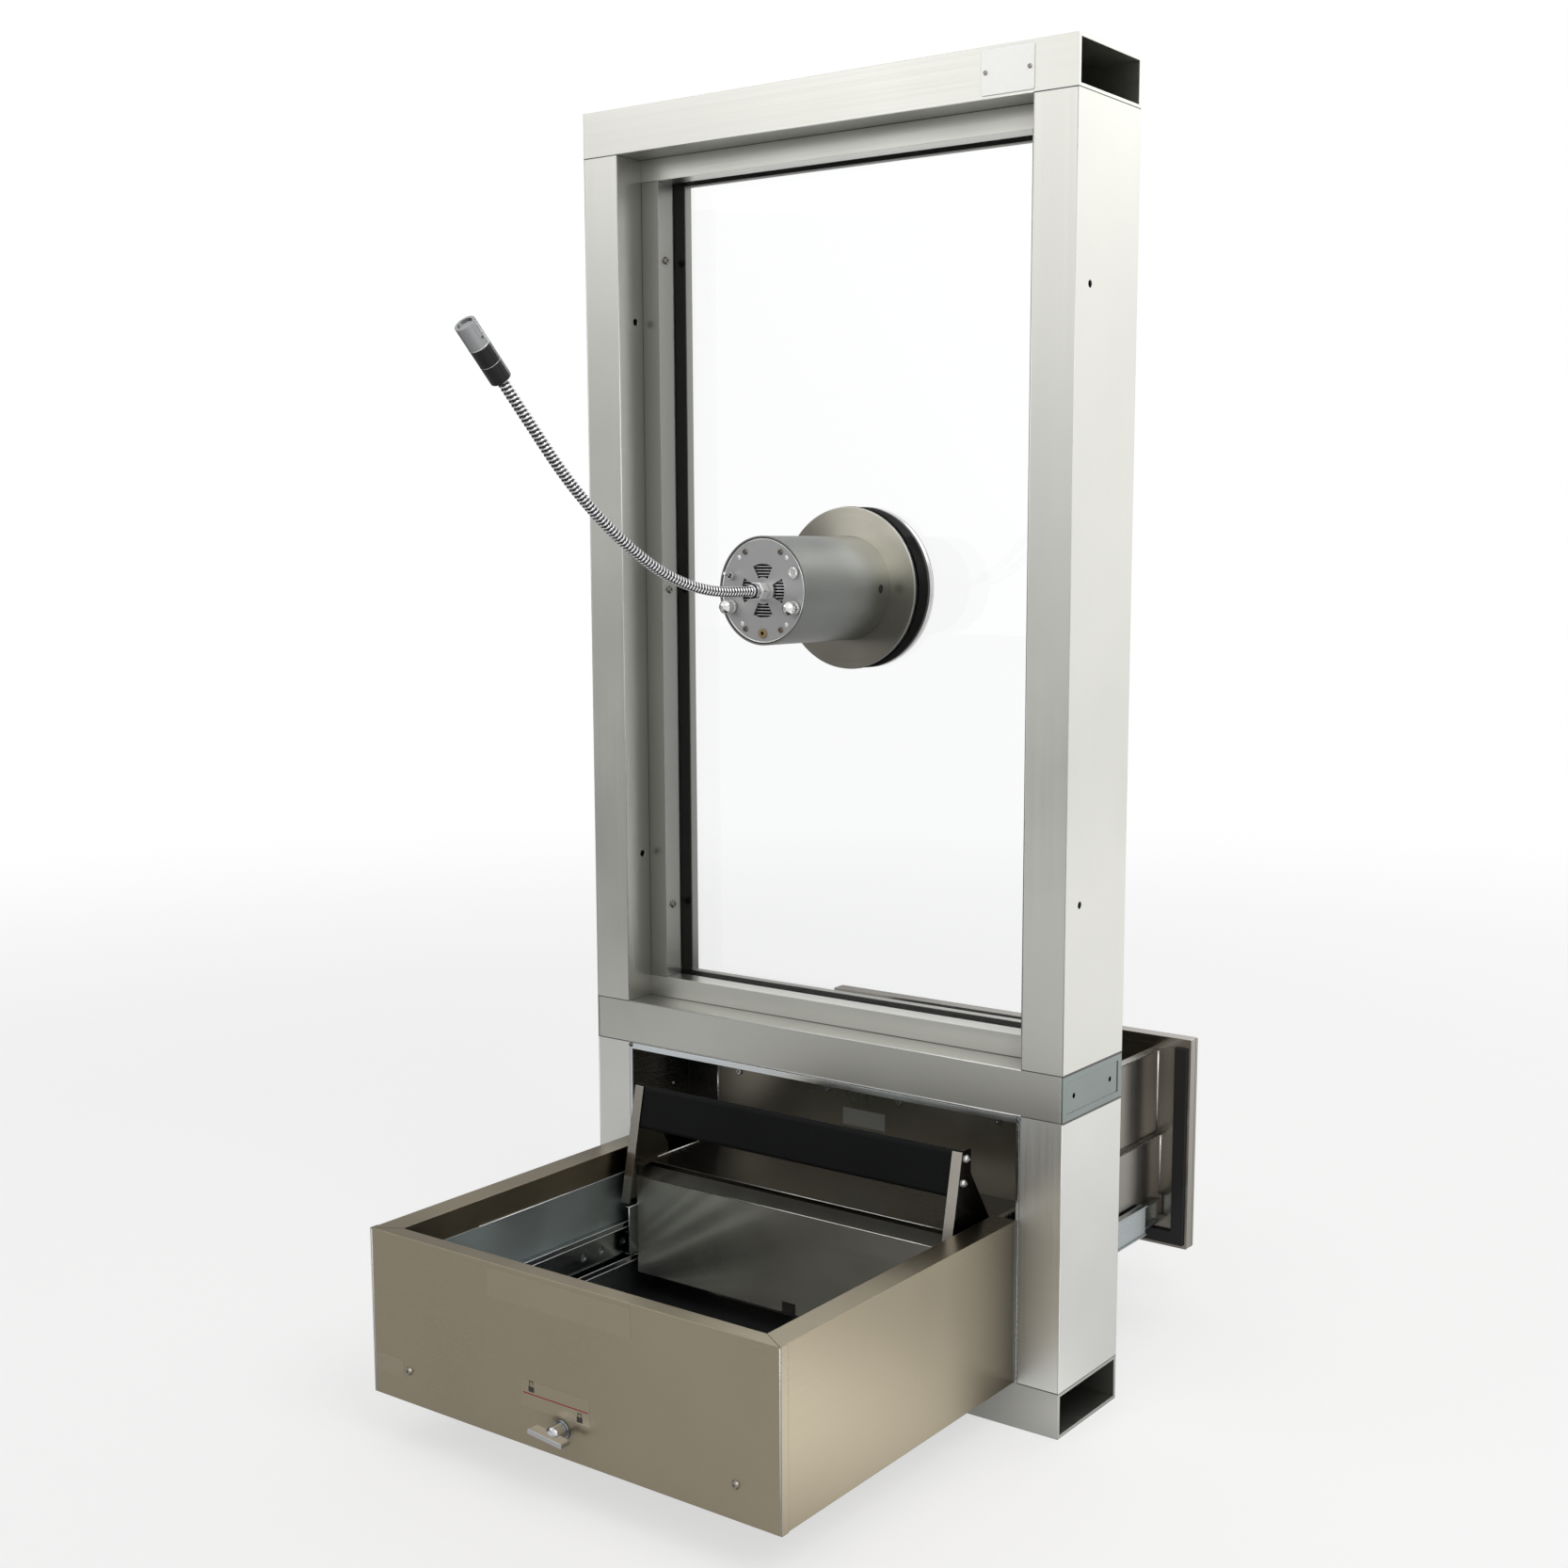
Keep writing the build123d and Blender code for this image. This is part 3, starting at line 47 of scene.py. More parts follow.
class Nodes:
    """A node tree written as calls: each makes a node, sets its values and links its inputs."""

    def __init__(self, tree):
        self.tree = tree
        tree.nodes.clear()

    def add(self, kind, inputs=None, **settings):
        node = self.tree.nodes.new(kind)
        for key, value in settings.items():
            setattr(node, key, value)
        for key, value in (inputs or {}).items():
            if isinstance(value, bpy.types.NodeSocket):
                self.tree.links.new(value, node.inputs[key])
            else:
                node.inputs[key].default_value = value
        return node

    def maths(self, operation, a, b=0.0):
        return self.add("ShaderNodeMath", {0: a, 1: b}, operation=operation).outputs[0]

    def spread(self, value, low, high, start=0.0, end=1.0, **settings):
        """Maps start..end to low..high."""
        return self.add("ShaderNodeMapRange", {"Value": value, "From Min": start, "From Max": end,
                                               "To Min": low, "To Max": high}, **settings).outputs[0]

    def shades(self, value, dark, light, start=0.0, end=1.0):
        """A colour between dark and light."""
        ramp = self.add("ShaderNodeValToRGB", {"Fac": value})
        for element, colour, place in zip(ramp.color_ramp.elements, (dark, light), (start, end)):
            element.color = tuple(min(1.0, c) for c in colour) + (1,)
            element.position = place
        return ramp.outputs[0]

    def mottled(self, value, colour, share):
        """The colour, a share darker or lighter from place to place."""
        dark, light = [c * (1 - share) for c in colour], [c * (1 + share) for c in colour]
        return self.shades(value, dark, light, 0.3, 0.7)

    def parts(self, vector):
        """The X, Y and Z of a vector."""
        return self.add("ShaderNodeSeparateXYZ", {0: vector}).outputs

    def noise(self, place, scale, detail):
        """A soft random pattern, from nought to one."""
        return self.add("ShaderNodeTexNoise", {"Vector": place, "Scale": scale,
                                               "Detail": detail}).outputs["Fac"]

    def bump(self, height, distance, normal=None):
        """Relief this many metres deep, laid over another normal."""
        inputs = {"Strength": 1.0, "Distance": distance, "Height": height}
        if normal is not None:
            inputs["Normal"] = normal
        return self.add("ShaderNodeBump", inputs).outputs[0]

    def skin(self, inputs):
        """The finished surface of a material."""
        surface = self.add("ShaderNodeBsdfPrincipled", inputs)
        self.add("ShaderNodeOutputMaterial", {"Surface": surface.outputs[0]})

    def seen(self):
        """One where a camera, glossy or transmission ray looks, nought for diffuse light."""
        path = self.add("ShaderNodeLightPath")
        either = self.maths("MAXIMUM", path.outputs["Is Camera Ray"], path.outputs["Is Glossy Ray"])
        return self.maths("MAXIMUM", either, path.outputs["Is Transmission Ray"])


def blank_look(name):
    """A new material and its empty node tree."""
    look = bpy.data.materials.new(name)
    look.use_nodes = True
    return look, Nodes(look.node_tree)


surround_level = 0.50
room_level = 0.46              # what metal mirrors at eye level, behind the camera's left
room_climb = 1.70              # how much brighter the room gets towards its ceiling
room_fall = 0.9                # and how much darker towards the floor
room_turn = 3.4                # how much brighter it gets round to the teller's right
room_turn_from = 0.67
room_back = 1.3                # how much darker it is beyond the object, left of room_back_from
room_back_from = 0.2
room_darkest = 0.16
room_brightest = 1.2
world = bpy.data.worlds.new("surround")
world.use_nodes = True
scene.world = world
wn = Nodes(world.node_tree)
heading = wn.parts(wn.add("ShaderNodeTexCoord").outputs["Generated"])
upward = wn.maths("MULTIPLY", wn.maths("MAXIMUM", heading["Z"], 0.0), room_climb)
downward = wn.maths("MULTIPLY", wn.maths("MINIMUM", heading["Z"], 0.0), room_fall)
turn = wn.maths("MULTIPLY", wn.maths("ADD", heading["X"], room_turn_from), room_turn)
beyond = wn.maths("MAXIMUM", wn.maths("SUBTRACT", room_back_from, heading["X"]), 0.0)
beyond = wn.maths("MULTIPLY", beyond, wn.maths("MAXIMUM", heading["Y"], 0.0))
room = wn.maths("ADD", wn.maths("ADD", wn.maths("ADD", upward, downward), turn), room_level)
room = wn.maths("SUBTRACT", room, wn.maths("MULTIPLY", beyond, room_back))
room = wn.maths("MINIMUM", wn.maths("MAXIMUM", room, room_darkest), room_brightest)
rays = wn.add("ShaderNodeLightPath").outputs
straight = wn.maths("MAXIMUM", rays["Is Camera Ray"], rays["Is Transmission Ray"])
mirrored = wn.maths("MULTIPLY", rays["Is Glossy Ray"], room)
dim = wn.maths("MULTIPLY", wn.maths("SUBTRACT", 1.0, wn.seen()), surround_level)
strength = wn.maths("ADD", wn.maths("MAXIMUM", straight, mirrored), dim)
surround = wn.add("ShaderNodeBackground", {"Color": (1, 1, 1, 1), "Strength": strength})
wn.add("ShaderNodeOutputWorld", {"Surface": surround.outputs[0]})

floor_half = 14.0
floor_glow = 0.62              # near the object, where its shadow falls
floor_mirrored = 0.26          # what metal mirrors of it, at mirror_from in X
mirror_from = -1.6
mirror_turn = 0.28
board_glow = 1.10              # a pale board on the floor beside the housing, seen only in metal
board_at = (0.52, -0.20, 0)
board_solid = 0.05
board_reach = 0.36
mirror_least = 0.2
mirror_near = 0.55             # share of it under the object, out to near_to; all of it from full_from
near_to = 0.5
full_from = 2.2
floor_paint = 0.40
floor_near = 1.3               # from here to far the floor turns into the white surround
floor_far = 4.2
floor_mesh = bpy.data.meshes.new("floor")
floor_mesh.from_pydata([(x * floor_half, y * floor_half, 0) for x, y in ((-1, -1), (1, -1), (1, 1), (-1, 1))],
                       [], [(0, 1, 2, 3)])
floor = bpy.data.objects.new("floor", floor_mesh)
scene.collection.objects.link(floor)
floor_look, fn = blank_look("pale_floor")
spot = fn.add("ShaderNodeNewGeometry").outputs["Position"]
reach = fn.add("ShaderNodeVectorMath", {0: spot}, operation="LENGTH").outputs["Value"]
far = fn.spread(reach, 0.0, 1.0, floor_near, floor_far, interpolation_type="SMOOTHSTEP")
paint = fn.spread(far, floor_paint, 0.0)
grey = fn.add("ShaderNodeCombineColor", {0: paint, 1: paint, 2: paint}).outputs[0]
matt = fn.add("ShaderNodeBsdfDiffuse", {"Color": grey})
white = fn.spread(far, floor_glow, 1.0)
looks = fn.add("ShaderNodeLightPath").outputs
plain = fn.maths("MULTIPLY", fn.maths("MAXIMUM", looks["Is Camera Ray"], looks["Is Transmission Ray"]), white)
across = fn.maths("SUBTRACT", fn.parts(spot)["X"], mirror_from)
sheen = fn.maths("ADD", fn.maths("MULTIPLY", across, mirror_turn), floor_mirrored)
sheen = fn.maths("MINIMUM", fn.maths("MAXIMUM", sheen, mirror_least), 1.0)
sheen = fn.maths("MULTIPLY", sheen, fn.spread(reach, mirror_near, 1.0, near_to, full_from))
board = fn.add("ShaderNodeVectorMath", {0: spot, 1: board_at}, operation="DISTANCE").outputs["Value"]
board = fn.spread(board, board_glow, 0.0, board_solid, board_reach, interpolation_type="SMOOTHSTEP")
mirror = fn.maths("MULTIPLY", looks["Is Glossy Ray"], fn.maths("ADD", sheen, board))
glow = fn.add("ShaderNodeEmission", {"Color": (1, 1, 1, 1), "Strength": fn.maths("MAXIMUM", plain, mirror)})
both = fn.add("ShaderNodeAddShader", {0: matt.outputs[0], 1: glow.outputs[0]})
fn.add("ShaderNodeOutputMaterial", {"Surface": both.outputs[0]})
floor_mesh.materials.append(floor_look)


def soft_lamp(name, place, towards, width, height, watts, colour=(1, 1, 1)):
    """A rectangular soft lamp that faces a point on the object."""
    data = bpy.data.lights.new(name, "AREA")
    data.shape = "RECTANGLE"
    data.size = width
    data.size_y = height
    data.energy = watts
    data.color = colour
    lamp = bpy.data.objects.new(name, data)
    lamp.location = place
    lamp.rotation_euler = (Vector(towards) - Vector(place)).to_track_quat("-Z", "Y").to_euler()
    scene.collection.objects.link(lamp)


soft_lamp("key_lamp", (2.4, -0.9, 2.9), (0.1, 0, 0.6), 2.0, 2.0, 30, (1.0, 0.985, 0.96))
soft_lamp("fill_lamp", (-2.2, -2.2, 2.4), (0, 0, 0.5), 2.2, 1.6, 7)
soft_lamp("back_lamp", (0.6, 2.8, 2.4), (0, 0, 0.7), 2.0, 1.4, 12)

# ---- the camera -------------------------------------------------------------------------------
# It stands to the teller's right, a little above the glass's middle, where the photograph was
# taken from.  Its lens and shift come from the frame's straight edges.
camera_data = bpy.data.cameras.new("camera")
camera_data.sensor_width = 36.0
camera_data.lens = 45.64
camera_data.shift_x = -0.0356
camera_data.shift_y = 0.0216
camera_data.clip_end = 60.0
camera = bpy.data.objects.new("camera", camera_data)
camera.location = (1.14641, -1.61156, 0.83251)
camera.rotation_euler = (pi / 2 - 0.1374, -0.0002, 0.6208)
scene.collection.objects.link(camera)
scene.camera = camera

# ---- aluminium frame ----------------------------------------------------------------------------
# Clear-anodised extruded tubes, sawn square and butted together, with the grain of the extrusion
# running along each tube.  The glazing stops are the same metal, snapped and screwed into place.


def metal_look(name, colour, grain, roughness=0.36, streak=0.06, coarse=2.0, fine=900.0, bump=0.02,
               cloud=0.05, edge=0.0006, recess=0.45, recess_reach=0.05, buckle=0.0, buckle_scale=4.0,
               inside=0.0, inside_share=0.5, fan=None, lid=1.0, front=1.0, fade=None):
    """A metal with fine lines along one direction, soft clouding, bright edges and painted shade in recesses.

    Its full colour shows only beyond inside in X; within it the colour is darkened to inside_share, a
    painted shade.  Faces that look up have the share lid of it, a painted shade, and those that look to -Y
    front times as much, a painted light.  fade is a stretch in Y and the share at its end, a painted shade.
    buckle is the depth of slow dents, and fan draws brushed rays about a point in X and Z.
    """
    look, n = blank_look(name)
    place = n.add("ShaderNodeTexCoord").outputs["Object"]
    along = [coarse if axis in grain else fine for axis in "xyz"]
    lines_at = n.add("ShaderNodeMapping", {"Vector": place, "Scale": along})
    lines = n.noise(lines_at.outputs[0], 1.0, 3.0)
    clouds = n.noise(place, 5.0, 4.0)
    rough = n.maths("ADD", n.spread(lines, roughness - streak, roughness + streak, 0.3, 0.7),
                    n.spread(clouds, -cloud, cloud, 0.3, 0.7))
    tint = n.mottled(clouds, colour, cloud)
    # The colour is darkened where ambient occlusion finds nearby surfaces: painted shade in recesses.
    corners = n.add("ShaderNodeAmbientOcclusion", {"Distance": recess_reach}, samples=6)
    painted_shading = n.spread(corners.outputs["AO"], 1 - recess, 1.0, 0.15, 0.85)
    where = n.parts(place)
    # Painted shade inside the opening, on upward faces and along a stretch in Y; painted light facing -Y.
    if inside:
        off = n.maths("ABSOLUTE", where["X"])
        painted_shading = n.maths("MULTIPLY", painted_shading, n.spread(off, inside_share, 1.0, inside, inside + 0.001))
    faces = n.parts(n.add("ShaderNodeNewGeometry").outputs["True Normal"])
    if lid < 1:
        painted_shading = n.maths("MULTIPLY", painted_shading, n.spread(faces["Z"], 1.0, lid, 0.5, 0.95))
    if front > 1:
        painted_shading = n.maths("MULTIPLY", painted_shading, n.spread(faces["Y"], front, 1.0, -0.95, -0.6))
    if fade:
        painted_shading = n.maths("MULTIPLY", painted_shading, n.spread(where["Y"], 1.0, fade[2], fade[0], fade[1],
                                                  interpolation_type="SMOOTHSTEP"))
    tint = n.add("ShaderNodeVectorMath", {0: tint, "Scale": painted_shading}, operation="SCALE").outputs[0]
    normal = n.add("ShaderNodeBevel", {"Radius": edge}, samples=4).outputs[0]
    if buckle:
        normal = n.bump(n.noise(place, buckle_scale, 1.0), buckle, normal)
    if fan:
        spot_x, spot_z, rays_wide, depth, fades_from, fades_to = fan
        swing = n.maths("ARCTAN2", n.maths("SUBTRACT", where["Z"], spot_z),
                        n.maths("SUBTRACT", where["X"], spot_x))
        swept = n.add("ShaderNodeTexNoise", {"W": n.maths("MULTIPLY", swing, rays_wide), "Scale": 1.0,
                                             "Detail": 1.5}, noise_dimensions="1D")
        share = n.spread(where["X"], 1.0, 0.12, fades_from, fades_to, interpolation_type="SMOOTHSTEP")
        normal = n.bump(n.maths("MULTIPLY", swept.outputs["Fac"], share), depth, normal)
    n.skin({"Base Color": tint, "Metallic": 1.0, "Roughness": rough,
            "Normal": n.bump(lines, bump * 0.001, normal)})
    return look


def dress(look, *names):
    """Gives CAD nodes this finish."""
    for name in names:
        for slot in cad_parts[name].material_slots:
            slot.material = look


def extent(name):
    """The low and high corners of a CAD node, in millimetres."""
    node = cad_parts[name]
    corners = [node.matrix_world @ Vector(corner) * 1000 for corner in node.bound_box]
    return [Vector([pick(corner[axis] for corner in corners) for axis in range(3)]) for pick in (min, max)]


def made(name, mesh, looks, body, slot, *stands_for, smooth=False):
    """Puts a finished mesh into the scene, riding on a body, in place of any CAD nodes it stands for."""
    if isinstance(mesh, bmesh.types.BMesh):
        bm, mesh = mesh, bpy.data.meshes.new(name)
        bmesh.ops.recalc_face_normals(bm, faces=bm.faces)
        bm.to_mesh(mesh)
        bm.free()
    for look in looks:
        mesh.materials.append(look)
    for polygon in mesh.polygons:
        polygon.use_smooth = smooth
    piece = bpy.data.objects.new(name, mesh)
    scene.collection.objects.link(piece)
    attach(piece, body)
    if stands_for:
        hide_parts(*stands_for)


def strips(name, spans, look, body, slot, soft=0.0002):
    """Thin strips or sheets between two corners each, in millimetres, with their edges eased."""
    bm = bmesh.new()
    for low, high in spans:
        low, high = Vector(low) / 1000, Vector(high) / 1000
        middle = Matrix.Translation((low + high) / 2) @ Matrix.Diagonal((*(high - low), 1))
        bmesh.ops.create_cube(bm, size=1, matrix=middle)
    bmesh.ops.bevel(bm, geom=bm.edges[:], offset=soft, segments=2, affect="EDGES", clamp_overlap=True)
    made(name, bm, [look], body, slot)


# The tubes' faces and the heights at which they meet, in millimetres.
half_width, half_depth, clear_half = 285.75, 57.15, 241.3
sill_top, transom_low, open_low, open_high = 44.45, 304.8, 349.25, 1219.2

# The tubes are one anodised metal in lighter and darker copies, a painted light and shade, and the
# upper jambs are darker inside the opening, a painted shade.
anodised = (0.69, 0.69, 0.645)
tube_corner = 0.0011
extruded = {"streak": 0.03, "bump": 0.006}
tube_x = {"grain": "x", "roughness": 0.34, "edge": tube_corner, **extruded}
dress(metal_look("anodised_tube_along_x", anodised, **tube_x), "header_tube")
dress(metal_look("anodised_transom", (0.60, 0.60, 0.56), **tube_x), "transom_tube")
dress(metal_look("anodised_sill", (0.50, 0.50, 0.47), **tube_x), "sill_tube")
dress(metal_look("anodised_tube_along_z", anodised, "z", roughness=0.34, edge=tube_corner,
                 inside=(clear_half + 0.1) / 1000, inside_share=0.58, **extruded),
      "upper_jamb_left", "upper_jamb_right")
dress(metal_look("anodised_lower_jamb", (0.74, 0.745, 0.715), "z", roughness=0.40, edge=tube_corner,
                 **extruded), "lower_jamb_left", "lower_jamb_right")
# The side stops: a far darker copy of the cross stops' metal, lit up towards -Y: painted shade and light.
dress(metal_look("stop_along_z", (0.27, 0.27, 0.255), "z", roughness=0.34, front=1.3, **extruded),
      "inner_side_stops", "outer_side_stops")
dress(metal_look("stop_along_x", (0.62, 0.62, 0.58), "x", roughness=0.34, **extruded),
      "inner_cross_stops", "outer_cross_stops")

# ---- sealed joints ------------------------------------------------------------------------------
# Dark hairlines of sealant where the tubes butt together, and thicker smeared lines round the zinc
# plates in the transom's ends.  They stand a tenth of a millimetre proud, and less at the frame's sides.


def plain_look(name, colour, roughness, grain=400.0, bump=0.05, metallic=0.0, vary=0.25, edge=0.0004,
               gloss=0.5):
    """A finish without direction: moulded plastic, rubber or paint with a fine even texture."""
    look, n = blank_look(name)
    place = n.add("ShaderNodeTexCoord").outputs["Object"]
    speck = n.noise(place, grain, 2.0)
    tint = n.mottled(n.noise(place, 12.0, 3.0), colour, vary)
    rough = n.spread(speck, roughness - 0.06, roughness + 0.06)
    rounded = n.add("ShaderNodeBevel", {"Radius": edge}, samples=4).outputs[0]
    n.skin({"Base Color": tint, "Metallic": metallic, "Roughness": rough, "Specular IOR Level": gloss,
            "Normal": n.bump(speck, bump * 0.001, rounded)})
    return look


sealant = plain_look("grey_sealant", (0.13, 0.13, 0.125), 0.5, bump=0.1)
proud, side_proud, line, end_line = 0.12, 0.02, 0.5, 1.2
joints = []
for height in (sill_top, transom_low, open_low, open_high):
    for hand in (-1, 1):
        jamb = sorted((hand * clear_half, hand * half_width))
        side = sorted((hand * (half_width - proud), hand * (half_width + side_proud)))
        inner = sorted((hand * (clear_half - proud), hand * (clear_half + proud)))
        thick = end_line if height in (transom_low, open_low) else line
        for face in (-half_depth, half_depth):
            joints.append(((jamb[0], face - proud, height - line), (jamb[1], face + proud, height + line)))
        joints.append(((side[0], -half_depth, height - thick), (side[1], half_depth, height + thick)))
        joints.append(((inner[0], -half_depth, height - line), (inner[1], half_depth, height + line)))
strips("joint_sealant", joints, sealant, "window", "black_rubber", soft=0.00005)

# Dark lines where the inner stops meet the tubes and each other.
stop_width, seam, butt = 22.2, 0.6, 0.35
stop_low, stop_high = open_low + stop_width, open_high - stop_width
stop_front = extent("inner_side_stops")[0].y - 0.08
stop_back = stop_front + 0.4
stop_lines = []
for hand in (-1, 1):
    edge = sorted((hand * (clear_half - seam), hand * clear_half))
    end = sorted((hand * (clear_half - stop_width), hand * clear_half))
    stop_lines.append(((edge[0], stop_front, stop_low), (edge[1], stop_back, stop_high)))
    for height in (stop_low, stop_high):
        stop_lines.append(((end[0], stop_front, height - butt), (end[1], stop_back, height + butt)))
for low in (open_low, open_high - seam):
    stop_lines.append(((-clear_half, stop_front, low), (clear_half, stop_back, low + seam)))
strips("stop_lines", stop_lines, sealant, "window", "black_rubber", soft=0.00005)

# ---- lit corners --------------------------------------------------------------------------------
# The tubes' sawn and extruded corners are sharp.  The light they catch along the opening and down the
# outer edges is drawn as thin pale beads: a painted highlight.


def beads(name, runs, radius, look, body, slot):
    """Thin round edges laid along straight runs, in millimetres."""
    bm = bmesh.new()
    for start, end in runs:
        start, end = Vector(start) / 1000, Vector(end) / 1000
        middle = Matrix.Translation((start + end) / 2)
        turned = (end - start).to_track_quat("Z", "Y").to_matrix().to_4x4()
        bmesh.ops.create_cone(bm, cap_ends=True, segments=10, radius1=radius / 1000, radius2=radius / 1000,
                              depth=(end - start).length, matrix=middle @ turned)
    made(name, bm, [look], body, slot, smooth=True)


corner_light = plain_look("corner_light", (0.80, 0.80, 0.77), 0.3, metallic=0.6, vary=0.05, bump=0.0)
set_in, set_back, short_of, lower_start = 0.45, 0.7, 0.6, 45.0
corner_y, upper_start = set_in - half_depth, open_low + short_of
lit_corners = []
for hand in (-1, 1):
    inner_x, outer_x = hand * (clear_half + set_in), hand * (half_width - set_back)
    for at_x, start, end in ((inner_x, upper_start, open_high), (outer_x, upper_start, open_high),
                             (outer_x, lower_start, transom_low)):
        lit_corners.append(((at_x, corner_y, start), (at_x, corner_y, end - short_of)))
for height in (open_high + set_in, open_low - set_in, transom_low + set_in):
    lit_corners.append(((-clear_half, corner_y, height), (clear_half, corner_y, height)))
beads("lit_corners", lit_corners, 0.62, corner_light, "window", "clear_anodised_aluminium")

# ---- zinc parts ---------------------------------------------------------------------------------
# Bright zinc-plated pressings: the plates in the transom's ends, the brackets that carry the
# slides, and the slides' members.  The plating is faintly cloudy and bluish.
zinc = metal_look("bright_zinc", (0.27, 0.31, 0.30), "y", roughness=0.34, streak=0.02, fine=300.0,
                  bump=0.008, cloud=0.16, recess=0.6)
dress(zinc, "transom_end_plates")
bracket_zinc = metal_look("bracket_zinc", (0.40, 0.45, 0.455), "y", roughness=0.48, streak=0.02, fine=300.0,
                          bump=0.008, cloud=0.14, edge=0.0008, recess=0.3, buckle=0.0006)
dress(bracket_zinc, "slide_bracket_left", "slide_bracket_right")
rail_zinc = metal_look("rail_zinc", (0.46, 0.50, 0.51), "y", roughness=0.22, streak=0.03, cloud=0.10,
                       edge=0.0007, recess=0.85, recess_reach=0.02)
dress(rail_zinc, "slide_outer_left", "slide_outer_right", "slide_middle_left", "slide_middle_right",
      "slide_inner_members", "lock_shaft", "lock_bushing")

# Ball cages between the outer and middle members, with their rows of steel balls.  They travel
# with the middle member, which moves the same way.


def balls(name, centres, radius, around, along, look, body, slot):
    """Steel balls or rivets' round heads, in millimetres."""
    bm = bmesh.new()
    for centre in centres:
        bmesh.ops.create_uvsphere(bm, u_segments=around, v_segments=along, radius=radius / 1000,
                                  matrix=Matrix.Translation(Vector(centre) / 1000))
    made(name, bm, [look], body, slot, smooth=True)


ball_steel = plain_look("ball_steel", (0.86, 0.86, 0.86), 0.12, metallic=1.0, vary=0.02, bump=0.0)
cage_dark = plain_look("cage_steel", (0.05, 0.052, 0.055), 0.35, metallic=1.0)
slide_height, race_offset, ball_radius, ball_pitch, ball_count = 104.5, 19.07, 2.2, 6.5, 18
ball_x, cage_inner, cage_outer, cage_start, cage_end, first_ball = 207.6, 205.4, 209.8, -92, 26, 4
cage_half = 0.4
races = (slide_height - race_offset, slide_height + race_offset)
for hand, hand_name in ((-1, "left"), (1, "right")):
    centres = [(hand * ball_x, cage_start + first_ball + index * ball_pitch, level)
               for level in races for index in range(ball_count)]
    balls(f"ball_rows_{hand_name}", centres, ball_radius, 12, 8, ball_steel, f"runner_{hand_name}",
          "zinc_plated_steel")
    near, far = sorted((hand * cage_inner, hand * cage_outer))
    cage = [((near, cage_start, level - cage_half), (far, cage_end, level + cage_half)) for level in races]
    strips(f"ball_cage_{hand_name}", cage, cage_dark, f"runner_{hand_name}", "zinc_plated_steel")

# Rolled edges of the rails, the brackets' lips and the clips at the drawer's front wall, drawn as thin
# pale beads: a painted highlight.
edge_highlight = plain_look("edge_highlight", (0.72, 0.76, 0.78), 0.25, metallic=0.45, vary=0.05, bump=0.0)
outer_rail_x, outer_edges, outer_run = 203.75, (-22.7, -16.9, 16.9, 22.7), (-400.5, 36.2)
middle_rail_x, middle_edges, middle_run = 202.35, (-16.3, -12.9, 12.9, 16.3), (-97.0, 271.0)
lip_x, lip_z, lip_end, lip_short, lip_back, lip_outer = 211.8, 177.8, -308.9, 0.4, -57.5, 236.0
clip_x, clip_root, clip_front, clip_back, clip_low, clip_high = 199.2, 202.9, -109.0, -95.4, 118.0, 143.8


def level_run(x, ends, height):
    """A run in Y, at one place in X and Z."""
    return (x, ends[0], height), (x, ends[1], height)


for hand, hand_name in ((-1, "left"), (1, "right")):
    outer = [level_run(hand * outer_rail_x, outer_run, slide_height + off) for off in outer_edges]
    middle = [level_run(hand * middle_rail_x, middle_run, slide_height + off) for off in middle_edges]
    lip = [level_run(hand * lip_x, (lip_end + lip_short, lip_back), lip_z),
           ((hand * lip_x, lip_end, lip_z), (hand * lip_outer, lip_end, lip_z))]
    corner = (hand * clip_x, clip_front, clip_high)
    clip = [((hand * clip_x, clip_front, clip_low), corner), (corner, (hand * clip_x, clip_back, clip_high)),
            ((hand * clip_root, clip_front, clip_high), corner)]
    beads(f"outer_rail_edges_{hand_name}", outer, 0.50, edge_highlight, "window", "zinc_plated_steel")
    beads(f"middle_rail_edges_{hand_name}", middle, 0.45, edge_highlight, f"runner_{hand_name}",
          "zinc_plated_steel")
    beads(f"bracket_lip_{hand_name}", lip, 0.70, edge_highlight, "window", "zinc_plated_steel")
    beads(f"clip_edge_{hand_name}", clip, 0.55, edge_highlight, "drawer", "zinc_plated_steel")

# ---- drawer sleeve ------------------------------------------------------------------------------
# Folded stainless liner of the drawer opening.  A thin pale strip over its lips, a painted highlight,
# stands for the bright line they catch; a rivet holds each upper corner, and its inside is darkened by
# painted shade.
sleeve_steel = metal_look("sleeve_stainless", (0.34, 0.335, 0.32), "y", roughness=0.26, streak=0.02,
                          cloud=0.05, bump=0.003, edge=0.0005, recess=0.72, recess_reach=0.10)
dress(sleeve_steel, "drawer_sleeve")
lip_highlight = metal_look("lip_zinc_highlight", (0.74, 0.78, 0.80), "x", roughness=0.22, cloud=0.1, recess=0.1,
                        edge=0.0003)
trim_front, trim_top, trim_low, trim_inner, trim_outer = -57.55, transom_low - 7.0, 45.0, 237.4, 240.4
trim_short = 0.8
trim = [((-clear_half, trim_front, trim_top), (clear_half, -half_depth, transom_low - trim_short))]
for hand in (-1, 1):
    inner, outer = sorted((hand * trim_inner, hand * trim_outer))
    trim.append(((inner, trim_front, trim_low), (outer, -half_depth, trim_top)))
strips("sleeve_lip_trim", trim, lip_highlight, "window", "zinc_plated_steel")
rivet_grey = plain_look("rivet_grey", (0.10, 0.11, 0.12), 0.3, metallic=0.8)
rivet_x, rivet_y, rivet_z, rivet_radius = 238.9, -57.3, 302.0, 2.5
rivets = [(hand * rivet_x, rivet_y, rivet_z) for hand in (-1, 1)]
balls("sleeve_rivets", rivets, rivet_radius, 20, 10, rivet_grey, "window", "zinc_plated_steel")
